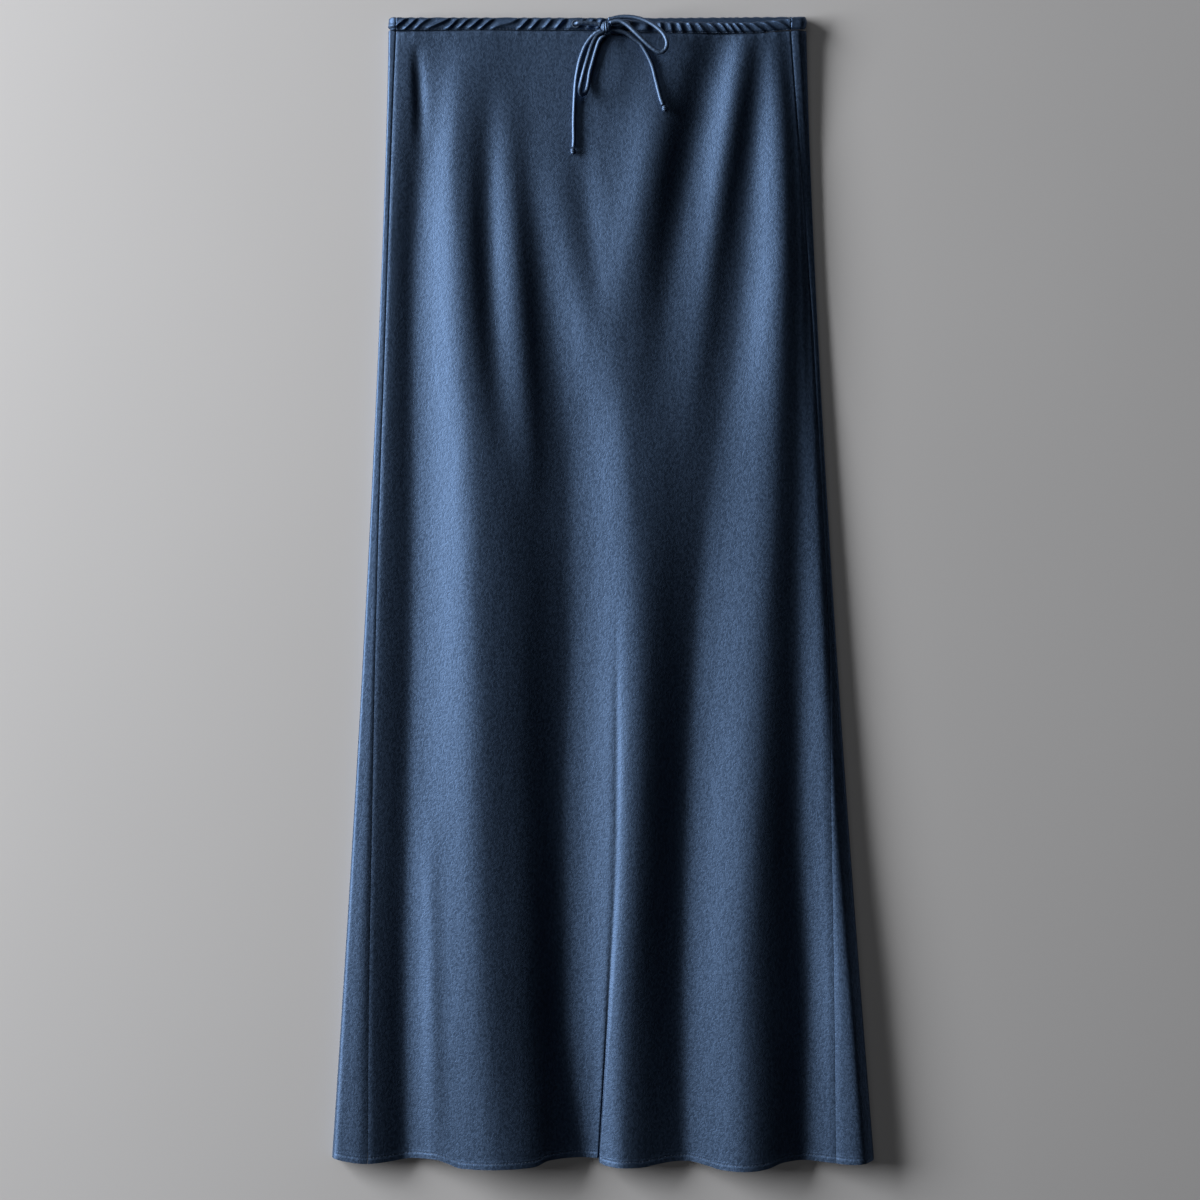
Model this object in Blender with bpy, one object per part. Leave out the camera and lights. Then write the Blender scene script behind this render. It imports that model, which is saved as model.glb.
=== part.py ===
"""A long bias-cut satin skirt with a drawstring waist, laid flat on its back.

Sizes below are in millimetres. The garment lies with its front up (+Z), its waist at +Y and its hem at -Y.
X = 0 and Y = 0 are the middle of its outline, and Z = 0 is the surface that it lies on.
"""

import math
from collections import namedtuple

import bmesh
import bpy
import numpy as np
from mathutils import Vector

MM = 0.001
GAP = 0.3

# driving dimensions
HALF_WIDTH_HEM = 233.5
WAIST_LEFT = 185.0
WAIST_RIGHT = 175.5
FLARE = 1.35
TOP_Y = 483.3
HEM_Y = -486.2
LENGTH = TOP_Y - HEM_Y
WALL = 1.2
HEM_WALL = 1.8
HEM_DEPTH = 8.0
BACK_HEM_RISE = 3.0
BACK_TOP_LIFT = 0.6
EDGE_RADIUS = 4.0
LEFT_RIM = (0.7, 0.4)
RIGHT_RIM = (0.35, 0.35)
RIM_POWER = 10
EDGE_FULLNESS = 1.15

# casing: a tunnel of cloth, one in front and one behind, round at the sides
LAYER_MIDDLE = 3.2
LAYER_RISE = 7.2
GATHER_HEIGHT = 0.7
GATHER_TWIST = 0.6
FOLD_RIPPLE = 0.5
SEAM_RIDGE = 0.4

# section of the casing from its stitch line (share 0) to its top fold (share 1): how far each
# face lies from the tunnel's middle, away from the body (outward) and towards it (inward)
Section = namedtuple("Section", "share outward inward")
CASING_SKIN = (
    Section(0.0, 2.2, 0.6),
    Section(0.24, 3.2, -3.2),
    Section(0.5, 3.2, -3.2),
    Section(0.76, 3.2, -3.2),
    Section(1.0, 1.2, -1.2),
)
TUNNEL = (
    Section(0.14, 1.4, -0.2),
    Section(0.28, 2.2, -2.2),
    Section(0.5, 2.2, -2.2),
    Section(0.72, 2.2, -2.2),
    Section(0.87, 1.0, -1.0),
)

# eyelets in the front casing
EYELETS = {"left": (-23.4, 487.8), "right": (21.6, 487.4)}
EYELET_HOLE = 2.25
EYELET_CUT_DEPTH = 4.0
EYELET_CUT_RISE = 3.4
EYELET_RING = 2.9
EYELET_THREAD = 0.5
EYELET_CALM = 6.0

# drawstring: a thin rolled cord; its routes are chosen by hand, in order from the knot or the casing
CORD = 3.8
CORD_PITCH = 7.6
RUN_PITCH = 11.0
CORD_BEND = 22
RUN_END = 3.2
KNOT_AT = (2.6, 484.2, 17.9)
KNOT_HALF = (4.4, 5.2, 3.3)
END_KNOT_HALF = (2.4, 3.0, 2.2)
ROUTES = {
    "drawstring_lead_left": (
        (-23.4, 487.8, 12.0), (-23.4, 487.8, 14.4), (-22.6, 487.8, 16.1), (-20.6, 487.8, 17.3),
        (-17.0, 487.8, 17.4), (-12.0, 487.5, 17.2), (-6.0, 486.9, 17.1), (-2.2, 486.4, 17.4)),
    "drawstring_lead_right": (
        (21.6, 487.4, 12.0), (21.6, 487.4, 14.4), (20.8, 487.4, 16.1), (18.8, 487.3, 17.3),
        (15.6, 487.0, 17.4), (12.0, 486.5, 17.3), (7.4, 486.0, 17.4)),
    "drawstring_loop_left": (
        (0.4, 479.0, 20.0), (-5.2, 475.6, 22.4), (-9.5, 467.0, 25.8), (-12.5, 457.5, 28.2),
        (-15.5, 447.2, 29.4), (-18.0, 437.7, 28.6), (-19.6, 430.9, 25.6), (-19.4, 427.3, 21.8),
        (-17.4, 426.4, 18.0), (-14.4, 429.6, 14.8), (-12.5, 437.7, 13.5), (-11.2, 446.3, 13.3),
        (-8.6, 455.8, 13.6), (-5.6, 466.1, 14.0), (-2.6, 473.9, 14.7), (2.2, 478.4, 15.9)),
    "drawstring_loop_right": (
        (4.6, 490.9, 16.8), (13.8, 492.9, 17.4), (23.2, 492.8, 18.8), (33.5, 490.2, 21.2),
        (43.0, 485.0, 24.0), (51.2, 477.3, 27.0), (54.6, 469.6, 28.4), (53.4, 463.4, 28.6),
        (48.8, 460.6, 28.5), (43.0, 463.5, 28.2), (35.3, 470.4, 27.5), (27.5, 478.2, 26.0),
        (20.6, 485.0, 24.0), (13.8, 488.6, 22.3), (6.0, 487.6, 20.9)),
    "drawstring_tail_left": (
        (-1.6, 481.6, 16.9), (-6.0, 479.6, 16.0), (-11.2, 474.7, 14.5), (-15.9, 467.4, 13.8),
        (-19.8, 456.7, 13.4), (-22.4, 444.6, 13.0), (-23.6, 435.2, 12.7), (-24.5, 420.5, 12.3),
        (-25.0, 404.0, 12.0), (-24.9, 390.4, 11.8), (-25.3, 382.0, 11.6)),
    "drawstring_tail_right": (
        (6.7, 481.6, 15.7), (13.0, 481.2, 15.4), (19.8, 479.6, 15.2), (26.7, 474.7, 14.9),
        (33.5, 468.7, 14.9), (41.3, 454.0, 15.3), (45.1, 440.3, 16.1), (49.0, 424.8, 16.9),
        (51.4, 417.8, 17.1)),
}
END_KNOTS = {"tail_knot_left": (-25.8, 378.7, 11.8), "tail_knot_right": (52.8, 414.7, 17.2)}

# distance below the casing seam at which the folds are measured
STATIONS = {"waist": 0, "yoke": 53, "hip": 117, "seat": 185, "upper thigh": 263, "thigh": 369,
            "knee": 506, "calf": 682, "shin": 837, "hem": 969.5}

# one row for each fold line that runs down the skirt: where it lies across the front at each
# station, how high the cloth is there, how far its end hangs below the shortest hem point, and how the
# flank on its left is bent at the waist and at the hem
Flank = namedtuple("Flank", "bend straight")
Fold = namedtuple("Fold", "name across height drop waistward hemward")
FOLDS = (
    Fold("left roll", (-174.5, -175.5, -180, -184, -186, -189, -195, -203, -208, -208),
         (9.8, 9.0, 9.2, 9.6, 10.0, 10.3, 10.8, 11.9, 13.6, 15.0), 4.0, Flank(1.0, 0.0), Flank(1.0, 0.0)),
    Fold("left trough", (-160, -155, -159, -163, -165, -165, -166, -170, -172, -170),
         (10.8, 7.4, 5.2, 4.8, 5.0, 5.0, 5.0, 5.0, 4.6, 4.6), 0.6, Flank(0.75, 0.3), Flank(0.75, 0.5)),
    Fold("left ridge", (-104, -121, -126, -123, -119, -111, -106, -104, -100, -89),
         (12.4, 12.2, 12.8, 14.8, 16.8, 19.5, 21.5, 23.5, 25, 25.5), 8.2, Flank(1.2, 0.3), Flank(1.1, 0.95)),
    Fold("middle trough", (-63, -63, -63, -55, -45, -31, -29, -34, -33, -17),
         (11.6, 9.5, 7.5, 6, 5, 4.6, 4.6, 4.6, 4.6, 4.6), 0.3, Flank(1.0, 0.2), Flank(0.85, 0.6)),
    Fold("middle ridge", (70, 62, 41, 25, 17, 24, 32, 28, 21, 18),
         (12.6, 12.5, 12.8, 13, 13.5, 15.5, 18, 19.5, 19, 18), 8.0, Flank(1.1, 0.2), Flank(1.4, 0.7)),
    Fold("right valley", (129, 127, 124, 121, 113, 96, 80, 71, 68, 70),
         (11.2, 7.5, 6, 6, 6.5, 8, 6, 4.6, 4.6, 4.6), 3.4, Flank(1.0, 0.3), Flank(0.95, 0.7)),
    Fold("right ridge", (146, 151, 154, 155, 152, 147, 139, 130, 124, 125),
         (12.4, 12.8, 14, 15, 16, 16.5, 17.5, 19.5, 21, 21.5), 10.3, Flank(1.15, 0.2), Flank(1.1, 0.9)),
    Fold("right trough", (157, 162, 167, 169, 170, 169, 168, 168, 175, 174),
         (11.6, 9.8, 9.5, 9.6, 10.2, 10.2, 9.4, 7, 4.6, 4.6), 2.4, Flank(0.95, 0.2), Flank(0.85, 0.7)),
    Fold("right roll", (168, 171, 174, 176, 178, 182, 189, 200, 213, 223),
         (11.8, 9.2, 7, 6.6, 7.6, 9.6, 12, 14.5, 17.2, 18), 4.6, Flank(1.0, 0.3), Flank(1.1, 0.8)),
)

# one row for each fold that fades out: its upper and lower end below the casing seam, its line across
# at the top, the middle and the end, its height, its half width on each side, and a power that is
# under 1 where it is strongest near its upper end
ShortFold = namedtuple("ShortFold", "name upper lower across height left right early")
SHORT_FOLDS = (
    ShortFold("left pinch", 34, 376, (-98, -99, -84), -4.5, 11, 11, 1),
    ShortFold("left pucker", 43, 419, (-82, -71, -58), 4.2, 12, 12, 1),
    ShortFold("yoke shoulder", 77, 334, (-50, -24, 3), 2.5, 19, 22, 1),
    ShortFold("yoke dip", 86, 257, (-20, -13, -1), -2.0, 12, 12, 1),
    ShortFold("yoke ridge", 20, 260, (52, 36, 20), 3.6, 18, 20, 0.8),
    ShortFold("hip trough", 0, 376, (97, 60, 45), -5.0, 16, 16, 0.5),
    ShortFold("hip ridge", 0, 385, (124, 95, 73), 5.6, 13, 13, 0.45),
    ShortFold("left shoulder", 330, 1250, (-74, -62, -55), 2.2, 18, 18, 1),
    ShortFold("hem ripple", 642, 1036, (-150, -147, -143), 1.6, 8, 8, 1),
)

# side seams: how far in from the outline they lie, at the same stations
LEFT_SEAM_INSET = (7, 5.6, 5.2, 5.4, 6.0, 7.0, 10.0, 16.5, 23.5, 31.5)
RIGHT_SEAM_INSET = (14, 11.2, 8.5, 6.0, 4.5, 4.5, 6.0, 15.5, 24.5, 33.5)

# the waist: where the front casing's stitch line and its top fold lie
WaistPoint = namedtuple("WaistPoint", "across stitch fold")
FRONT_WAIST = (
    WaistPoint(-180, 483.3, 494.0),
    WaistPoint(0, 483.0, 493.6),
    WaistPoint(44, 480.6, 490.4),
    WaistPoint(120, 480.2, 489.8),
    WaistPoint(163, 483.2, 493.6),
)
BACK_FOLD_LEFT = 494.4
BACK_FOLD_MIDDLE = 495.2
BACK_FOLD_RIGHT = 496.5
WRAP_FOLD_RIGHT = 494.2
BACK_CASING_DEPTH = 10.8

# gathers of the casing: the stretch that they fill, how many there are and which way they lean
Gathers = namedtuple("Gathers", "start end count lean")
GATHERS = (
    Gathers(-178, -24, 13, 1),
    Gathers(-24, 58, 7, 0.2),
    Gathers(58, 161, 12, -1),
)

# columns of the front's mesh between one fold line and the next, left to right
FRONT_COLUMNS = (4, 5, 8, 8, 7, 3, 3, 5)
LONG_ROWS = 25
ROW_CROWDING = 1.25
STRIP_COLUMNS = 5
EDGE_STEPS = 3
BOTTOM_COLUMNS = 2
GATHER_PITCH = 3.4
BACK_PITCH = 6.0
TUNNEL_PITCH = 13.0
TURN_STEPS = 8


def smooth(knots, values, at):
    """Reads a monotone cubic through knots and values, which run along the last axis, at each place."""
    at = np.asarray(at, float)
    shape = at.shape + (np.shape(knots)[-1],)
    knots = np.broadcast_to(np.asarray(knots, float), shape)
    values = np.broadcast_to(np.asarray(values, float), shape)
    span = np.diff(knots)
    slope = np.diff(values) / span
    before, after = slope[..., :-1], slope[..., 1:]
    steady = before * after > 0
    first = 2 * span[..., 1:] + span[..., :-1]
    second = span[..., 1:] + 2 * span[..., :-1]
    before, after = np.where(steady, before, 1), np.where(steady, after, 1)
    mean = (first + second) / (first / before + second / after)
    tangent = np.concatenate([slope[..., :1], np.where(steady, mean, 0), slope[..., -1:]], axis=-1)
    piece = np.clip((at[..., None] >= knots[..., 1:-1]).sum(-1), 0, shape[-1] - 2)[..., None]

    def pick(table):
        return np.take_along_axis(table, piece, -1)[..., 0]

    width = pick(span)
    part = np.clip((at - pick(knots[..., :-1])) / width, 0, 1)
    rest = 1 - part
    start, end = pick(values[..., :-1]), pick(values[..., 1:])
    pull = width * part * rest * (pick(tangent[..., :-1]) * rest - pick(tangent[..., 1:]) * part)
    return start * (1 + 2 * part) * rest ** 2 + end * (3 - 2 * part) * part ** 2 + pull


def along(values, y):
    """A value that is given at each station, read at y."""
    return smooth(tuple(STATIONS.values()), values, np.clip(TOP_Y - np.asarray(y, float), 0, LENGTH))


def outline(y, side):
    """The left (side -1) or right (side 1) edge of the skirt: straight at the waist, flaring to the hem."""
    waist = WAIST_LEFT if side < 0 else WAIST_RIGHT
    fall = np.clip((TOP_Y - np.asarray(y, float)) / LENGTH, 0, 1)
    return side * (waist + (HALF_WIDTH_HEM - waist) * fall ** FLARE)


def side_seam(y, side):
    """Where a side seam lies, in from the outline."""
    inset = LEFT_SEAM_INSET if side < 0 else RIGHT_SEAM_INSET
    return outline(y, side) - side * along(inset, y)


def edge_rise(part, rim, y):
    """Share of the height from the outline (0) to the crest beside it (1): a low rim, then a gentle rise."""
    rest = 1 - np.clip(part, 0, 1)
    rim = rim[0] + (rim[1] - rim[0]) * np.clip((TOP_Y - y) / LENGTH, 0, 1)
    return rim * (1 - rest ** RIM_POWER) + (1 - rim) * (1 - rest ** EDGE_FULLNESS)


def join_folds(knots, heights, x, y):
    """Height between two fold lines: an ease mixed with a straight flank that has a rounded crest."""
    piece = np.clip((x[..., None] >= knots[..., 1:-1]).sum(-1), 0, knots.shape[-1] - 2)
    left, right = (np.take_along_axis(knots, (piece + k)[..., None], -1)[..., 0] for k in (0, 1))
    start, end = (np.take_along_axis(heights, (piece + k)[..., None], -1)[..., 0] for k in (0, 1))
    part = np.clip((x - left) / (right - left), 0, 1)
    fall = np.clip((TOP_Y - y) / LENGTH, 0, 1)[..., None]
    waistward = np.array([fold.waistward for fold in FOLDS] + [(1, 0)])[piece]
    hemward = np.array([fold.hemward for fold in FOLDS] + [(1, 0)])[piece]
    bend, straight = np.moveaxis(waistward * (1 - fall) + hemward * fall, -1, 0)
    up = np.where(end > start, part, 1 - part) ** bend
    lift = (1 - straight) * up * up * (3 - 2 * up) + straight * (1.2 * up - 0.2 * up ** 6)
    return np.minimum(start, end) + np.abs(end - start) * lift


def cloth_top(x, y):
    """Height of the upper surface: fold lines joined by their flanks, falling off to both outlines."""
    x, y = np.broadcast_arrays(np.asarray(x, float), np.asarray(y, float))
    edge = np.full(x.shape, EDGE_RADIUS)
    left, right = outline(y, -1), outline(y, 1)
    places = [along(fold.across, y) for fold in FOLDS]
    heights = [along(fold.height, y) for fold in FOLDS]
    knots = np.stack([left - GAP] + places + [right + GAP], axis=-1)
    z = join_folds(knots, np.stack([edge] + heights + [edge], axis=-1), x, y)
    for border, k, rim in ((left, 0, LEFT_RIM), (right, -1, RIGHT_RIM)):
        part = (x - border) / (places[k] - border)
        z = np.where(part < 1, EDGE_RADIUS + (heights[k] - EDGE_RADIUS) * edge_rise(part, rim, y), z)
    below = TOP_Y - y
    for fold in SHORT_FOLDS:
        run = np.clip((below - fold.upper) / (fold.lower - fold.upper), 0, 1)
        first, middle, last = fold.across
        line = first * (1 - run) * (1 - 2 * run) + middle * 4 * run * (1 - run) + last * run * (2 * run - 1)
        away = (x - line) / np.where(x < line, fold.left, fold.right)
        z = z + fold.height * np.sin(math.pi * run ** fold.early) ** 1.2 * np.exp(-away ** 2)
    return z


def cloth_normal(x, y):
    """Unit normal of the upper surface within its section across the skirt."""
    reach = 0.4
    slope = (cloth_top(x + reach, y) - cloth_top(x - reach, y)) / (2 * reach)
    size = np.sqrt(1 + slope ** 2)
    return np.stack([-slope / size, np.zeros_like(slope), 1 / size], axis=-1)


def front_waist(x, column):
    """The casing's stitch line or top fold at x."""
    return smooth([p.across for p in FRONT_WAIST], [getattr(p, column) for p in FRONT_WAIST], x)


def hem_line(x):
    """The hem's edge at x: lower where a ridge ends and higher where a trough does."""
    places = [-HALF_WIDTH_HEM] + [fold.across[-1] for fold in FOLDS] + [HALF_WIDTH_HEM]
    drops = [0.6] + [fold.drop for fold in FOLDS] + [2.0]
    return HEM_Y - smooth(places, drops, x)


def row_places():
    """Rows from the waist (0) to the hem (1): closer near the waist, and two more at the turned hem."""
    rows = (np.arange(LONG_ROWS) / LONG_ROWS) ** ROW_CROWDING
    turned = 1 - HEM_DEPTH / LENGTH
    return np.concatenate([rows, [turned - 0.6 / LENGTH, turned, 1]])


def wall_at(rows):
    """Thickness of the cloth at each row: doubled over where the hem is turned."""
    return np.where(rows >= 1 - HEM_DEPTH / LENGTH - 1e-9, HEM_WALL, WALL)


def link_object(name, mesh, material):
    part = bpy.data.objects.new(name, mesh)
    part.data.materials.append(material)
    bpy.context.scene.collection.objects.link(part)
    return part


def add_faces(bm, first, second, closed):
    """Quads between two rows of vertices."""
    count = len(first)
    for i in range(count if closed else count - 1):
        j = (i + 1) % count
        bm.faces.new((first[i], first[j], second[j], second[i]))


def finish_mesh(bm, name, sharp_degrees=40):
    bmesh.ops.recalc_face_normals(bm, faces=bm.faces)
    mesh = bpy.data.meshes.new(name)
    bm.to_mesh(mesh)
    bm.free()
    mesh.shade_smooth()
    mesh.set_sharp_from_angle(angle=math.radians(sharp_degrees))
    return mesh


def sheet_wall(name, outer, inner, material):
    """A closed wall of cloth between two grids of points, its edges closed all round."""
    bm = bmesh.new()
    outside = [[bm.verts.new(p) for p in row] for row in (outer * MM).tolist()]
    inside = [[bm.verts.new(p) for p in row] for row in (inner * MM).tolist()]
    for skin in (outside, inside):
        for upper, lower in zip(skin, skin[1:]):
            add_faces(bm, upper, lower, closed=False)
    for end in (0, -1):
        add_faces(bm, outside[end], inside[end], closed=False)
        add_faces(bm, [row[end] for row in outside], [row[end] for row in inside], closed=False)
    return link_object(name, finish_mesh(bm, name), material)


def make_front_panel(material):
    """The front: columns follow the fold lines, rows run from the casing seam to the hem."""
    guides = [lambda y: side_seam(y, -1) + GAP / 2]
    guides += [lambda y, fold=fold: along(fold.across, y) for fold in FOLDS[1:-1]]
    guides += [lambda y: side_seam(y, 1) - GAP / 2]
    rows = row_places()
    columns = []
    for left, right, count in zip(guides, guides[1:], FRONT_COLUMNS):
        last = right is guides[-1]
        for share in np.arange(count + last) / count:
            def place(y, left=left, right=right, share=share):
                return (1 - share) * left(y) + share * right(y)
            top = front_waist(place(TOP_Y), "stitch") - GAP
            y = top + rows * (hem_line(place(HEM_Y)) - top)
            x = place(y)
            columns.append(np.stack([x, y, cloth_top(x, y)], axis=-1))
    outer = np.stack(columns, axis=1)
    normal = cloth_normal(outer[..., 0], outer[..., 1])
    inner = outer - normal * wall_at(rows)[:, None, None]
    return sheet_wall("front_panel", outer, inner, material)


def back_fold(x):
    """Top fold of the back casing where it lies behind, a little higher on the right."""
    heights = (BACK_FOLD_LEFT, BACK_FOLD_MIDDLE, BACK_FOLD_RIGHT)
    return smooth((-WAIST_LEFT, 0, WAIST_RIGHT), heights, x)


def make_back_panel(material):
    """The back: a flat underside, rolled up at both outlines and over onto the front as far as the seams."""
    rows = row_places()
    strip = (np.arange(STRIP_COLUMNS + 1) / STRIP_COLUMNS) ** 2
    turn = np.radians(90 * np.arange(1, EDGE_STEPS + 1) / EDGE_STEPS)
    level = np.arange(1, BOTTOM_COLUMNS + 1) / (BOTTOM_COLUMNS + 1)
    lift = np.where(rows == 0, BACK_TOP_LIFT, 0.0)

    def side_columns(side):
        """From the seam over the outline to the flat underside."""
        found = []
        for share in strip[::-1]:
            def place(y, share=share):
                return (1 - share) * outline(y, side) + share * (side_seam(y, side) + side * GAP / 2)
            y = top_edge(side) + rows * (hem_line(place(HEM_Y)) - top_edge(side))
            x = place(y)
            found.append(np.stack([x, y, cloth_top(x, y)], axis=-1))
        for angle in turn:
            hem = hem_line(side * HALF_WIDTH_HEM) + math.sin(angle) * BACK_HEM_RISE
            y = top_edge(side) + rows * (hem - top_edge(side))
            x = outline(y, side) - side * EDGE_RADIUS * (1 - math.cos(angle))
            found.append(np.stack([x, y, lift + EDGE_RADIUS * (1 - math.sin(angle))], axis=-1))
        return found

    def top_edge(side):
        return (BACK_FOLD_LEFT if side < 0 else WRAP_FOLD_RIGHT) - BACK_CASING_DEPTH - GAP

    left, right = side_columns(-1), side_columns(1)
    bottom = [left[-1] + (right[-1] - left[-1]) * share for share in level]
    outer = np.stack(left + bottom + right[::-1], axis=1)
    step = np.gradient(outer, axis=1)
    size = np.hypot(step[..., 0], step[..., 2])
    normal = np.stack([-step[..., 2] / size, 0 * size, step[..., 0] / size], axis=-1)
    for end in (0, -1):
        normal[:, end] = -cloth_normal(outer[:, end, 0], outer[:, end, 1])
    inner = outer + normal * WALL
    return sheet_wall("back_panel", outer, inner, material)


def gather_phase(x):
    """Number of gathers from the left seam to x, and the way that they lean there."""
    x = np.asarray(x, float)
    count = sum(g.count * np.clip((x - g.start) / (g.end - g.start), 0, 1) for g in GATHERS)
    middles = [(g.start + g.end) / 2 for g in GATHERS]
    uneven = 0.12 * np.sin(x * 0.11) + 0.08 * np.sin(x * 0.053 + 1)
    return count + uneven, smooth(middles, [g.lean for g in GATHERS], x)


def gather_raise(x, share):
    """Height of the slanting ridges that the drawstring pulls into the casing, calm round the eyelets."""
    count, lean = gather_phase(x)
    wave = 0.5 + 0.5 * np.cos(2 * math.pi * (count - GATHER_TWIST * lean * (share - 0.5)))
    calm = np.ones_like(np.asarray(x, float))
    for place in EYELETS.values():
        calm = calm * (1 - np.exp(-((x - place[0]) / EYELET_CALM) ** 4))
    return GATHER_HEIGHT * wave ** 1.5 * calm


def spine_front(pitch):
    """Middle of the front tunnel: places x, z and the outward direction, from seam to seam."""
    start = side_seam(TOP_Y, -1) + GAP / 2
    end = side_seam(TOP_Y, 1) - GAP / 2
    x = np.linspace(start, end, round((end - start) / pitch) + 1)
    z = np.full_like(x, LAYER_MIDDLE + LAYER_RISE)
    return np.stack([x, z, 0 * x, 1 + 0 * x], axis=-1)


def spine_back(pitch):
    """Middle of the back tunnel: from the left seam round the left side, behind, and round the right."""
    radius = LAYER_RISE / 2
    middle = LAYER_MIDDLE + radius
    turn_left = -(WAIST_LEFT - radius - LAYER_MIDDLE)
    turn_right = WAIST_RIGHT - radius - LAYER_MIDDLE
    angle = np.linspace(0, math.pi, TURN_STEPS + 1)
    sine, cosine = np.sin(angle), np.cos(angle)
    left = np.stack([turn_left - radius * sine, middle + radius * cosine, -sine, cosine], axis=-1)
    right = np.stack([turn_right + radius * sine, middle + radius * cosine, sine, cosine], axis=-1)[::-1]
    x = np.linspace(turn_left, turn_right, round((turn_right - turn_left) / pitch) + 1)[1:-1]
    behind = np.stack([x, np.full_like(x, LAYER_MIDDLE), 0 * x, -1 + 0 * x], axis=-1)
    seam = side_seam(TOP_Y, 1) + GAP / 2
    wrap = np.array([[seam, middle + radius, 0, 1]])
    return np.concatenate([left, behind, right, wrap])


def back_lines(spine):
    """Stitch line and top fold of the back casing: the wrap over the right side lies a little lower."""
    x, outward = spine[:, 0], spine[:, 3]
    over = np.clip(0.5 + 0.5 * outward, 0, 1) * (x > 0)
    fold = back_fold(x) * (1 - over) + WRAP_FOLD_RIGHT * over
    fold = np.where((x < 0) & (outward > -1), BACK_FOLD_LEFT, fold)
    return fold - BACK_CASING_DEPTH, fold


def section_rings(spine, stitch, fold, sections, ridges=0.0, ripple=0.0):
    """Rings of a casing: up the outward face and down the inward one, at each place on the spine."""
    order = [(s.share, s.outward, 1) for s in sections] + [(s.share, s.inward, 0) for s in sections[::-1]]
    rings = []
    for share, away, outward in order:
        lift = outward * ridges * gather_raise(spine[:, 0], share) / GATHER_HEIGHT
        offset = away + (lift if 0 < share < 1 else SEAM_RIDGE * lift)
        count, _ = gather_phase(spine[:, 0])
        dip = ripple * (0.5 - 0.5 * np.cos(2 * math.pi * count)) * (share == 1)
        y = stitch + share * (fold - stitch) - dip
        x = spine[:, 0] + offset * spine[:, 2]
        z = spine[:, 1] + offset * spine[:, 3]
        rings.append(np.stack([x, y, z], axis=-1))
    return np.stack(rings, axis=1) * MM


def tube_of_cloth(name, skin, tunnel, material):
    """A closed tube between an outer and an inner row of rings, open at both ends."""
    bm = bmesh.new()
    ends = []
    for rings in (skin, tunnel):
        verts = [[bm.verts.new(p) for p in ring] for ring in rings.tolist()]
        for first, second in zip(verts, verts[1:]):
            add_faces(bm, first, second, closed=True)
        ends.append((verts[0], verts[-1]))
    for outer_end, inner_end in zip(*ends):
        add_faces(bm, outer_end, inner_end, closed=True)
    return link_object(name, finish_mesh(bm, name), material)


def make_front_casing(material):
    skin_spine, tunnel_spine = spine_front(GATHER_PITCH), spine_front(TUNNEL_PITCH)
    rings = []
    for spine, sections, ridges in ((skin_spine, CASING_SKIN, GATHER_HEIGHT), (tunnel_spine, TUNNEL, 0)):
        stitch, fold = front_waist(spine[:, 0], "stitch"), front_waist(spine[:, 0], "fold")
        rings.append(section_rings(spine, stitch, fold, sections, ridges, ripple=FOLD_RIPPLE * (ridges > 0)))
    casing = tube_of_cloth("front_casing", *rings, material)
    for side, (x, y) in EYELETS.items():
        bpy.ops.mesh.primitive_cylinder_add(vertices=16, radius=EYELET_HOLE * MM,
                                            depth=EYELET_CUT_DEPTH * MM)
        cutter = bpy.context.object
        cutter.name = "eyelet_cut_" + side
        cutter.location = Vector((x, y, LAYER_MIDDLE + LAYER_RISE + EYELET_CUT_RISE)) * MM
        cutter.hide_render = True
        cutter.display_type = "WIRE"
        cut = casing.modifiers.new("eyelet " + side, "BOOLEAN")
        cut.operation = "DIFFERENCE"
        cut.object = cutter
    return casing


def make_back_casing(material):
    rings = []
    for pitch, sections, ripple in ((BACK_PITCH, CASING_SKIN, FOLD_RIPPLE), (TUNNEL_PITCH, TUNNEL, 0)):
        spine = spine_back(pitch)
        stitch, fold = back_lines(spine)
        rings.append(section_rings(spine, stitch, fold, sections, 0, ripple))
    return tube_of_cloth("back_casing", *rings, material)


def smooth_route(points, steps=12):
    """A Catmull-Rom curve through a route's own points."""
    points = np.asarray(points, float)
    ends = [2 * points[0] - points[1]], [2 * points[-1] - points[-2]]
    padded = np.concatenate([ends[0], points, ends[1]])
    part = np.arange(steps)[:, None] / steps
    curve = []
    for a, b, c, d in zip(padded, padded[1:], padded[2:], padded[3:]):
        bend = (2 * a - 5 * b + 4 * c - d) * part ** 2 + (3 * b - a - 3 * c + d) * part ** 3
        curve.append(0.5 * (2 * b + (c - a) * part + bend))
    return np.concatenate(curve + [points[-1:]])


def thin_out(curve, pitch):
    """Keeps a point of the curve for each pitch of its length, and more where it bends."""
    steps = np.diff(curve, axis=0)
    lengths = np.linalg.norm(steps, axis=1)
    headings = steps / lengths[:, None]
    bends = np.degrees(np.arccos(np.clip((headings[1:] * headings[:-1]).sum(1), -1, 1)))
    effort = np.concatenate([[0], np.cumsum(lengths / pitch)])
    effort[1:-1] += np.cumsum(bends) / CORD_BEND
    effort[-1] += bends.sum() / CORD_BEND
    places = np.linspace(0, effort[-1], math.ceil(effort[-1]) + 1)
    return np.stack([np.interp(places, effort, curve[:, axis]) for axis in range(3)], axis=-1)


def make_cord(name, curve, material, pitch=CORD_PITCH):
    points = thin_out(curve, pitch) * MM
    data = bpy.data.curves.new(name, "CURVE")
    data.dimensions = "3D"
    data.bevel_depth = CORD / 2 * MM
    data.bevel_resolution = 2
    data.use_fill_caps = True
    spline = data.splines.new("POLY")
    spline.points.add(len(points) - 1)
    spline.points.foreach_set("co", np.column_stack([points, np.ones(len(points))]).ravel())
    spline.use_smooth = True
    return link_object(name, data, material)


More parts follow.
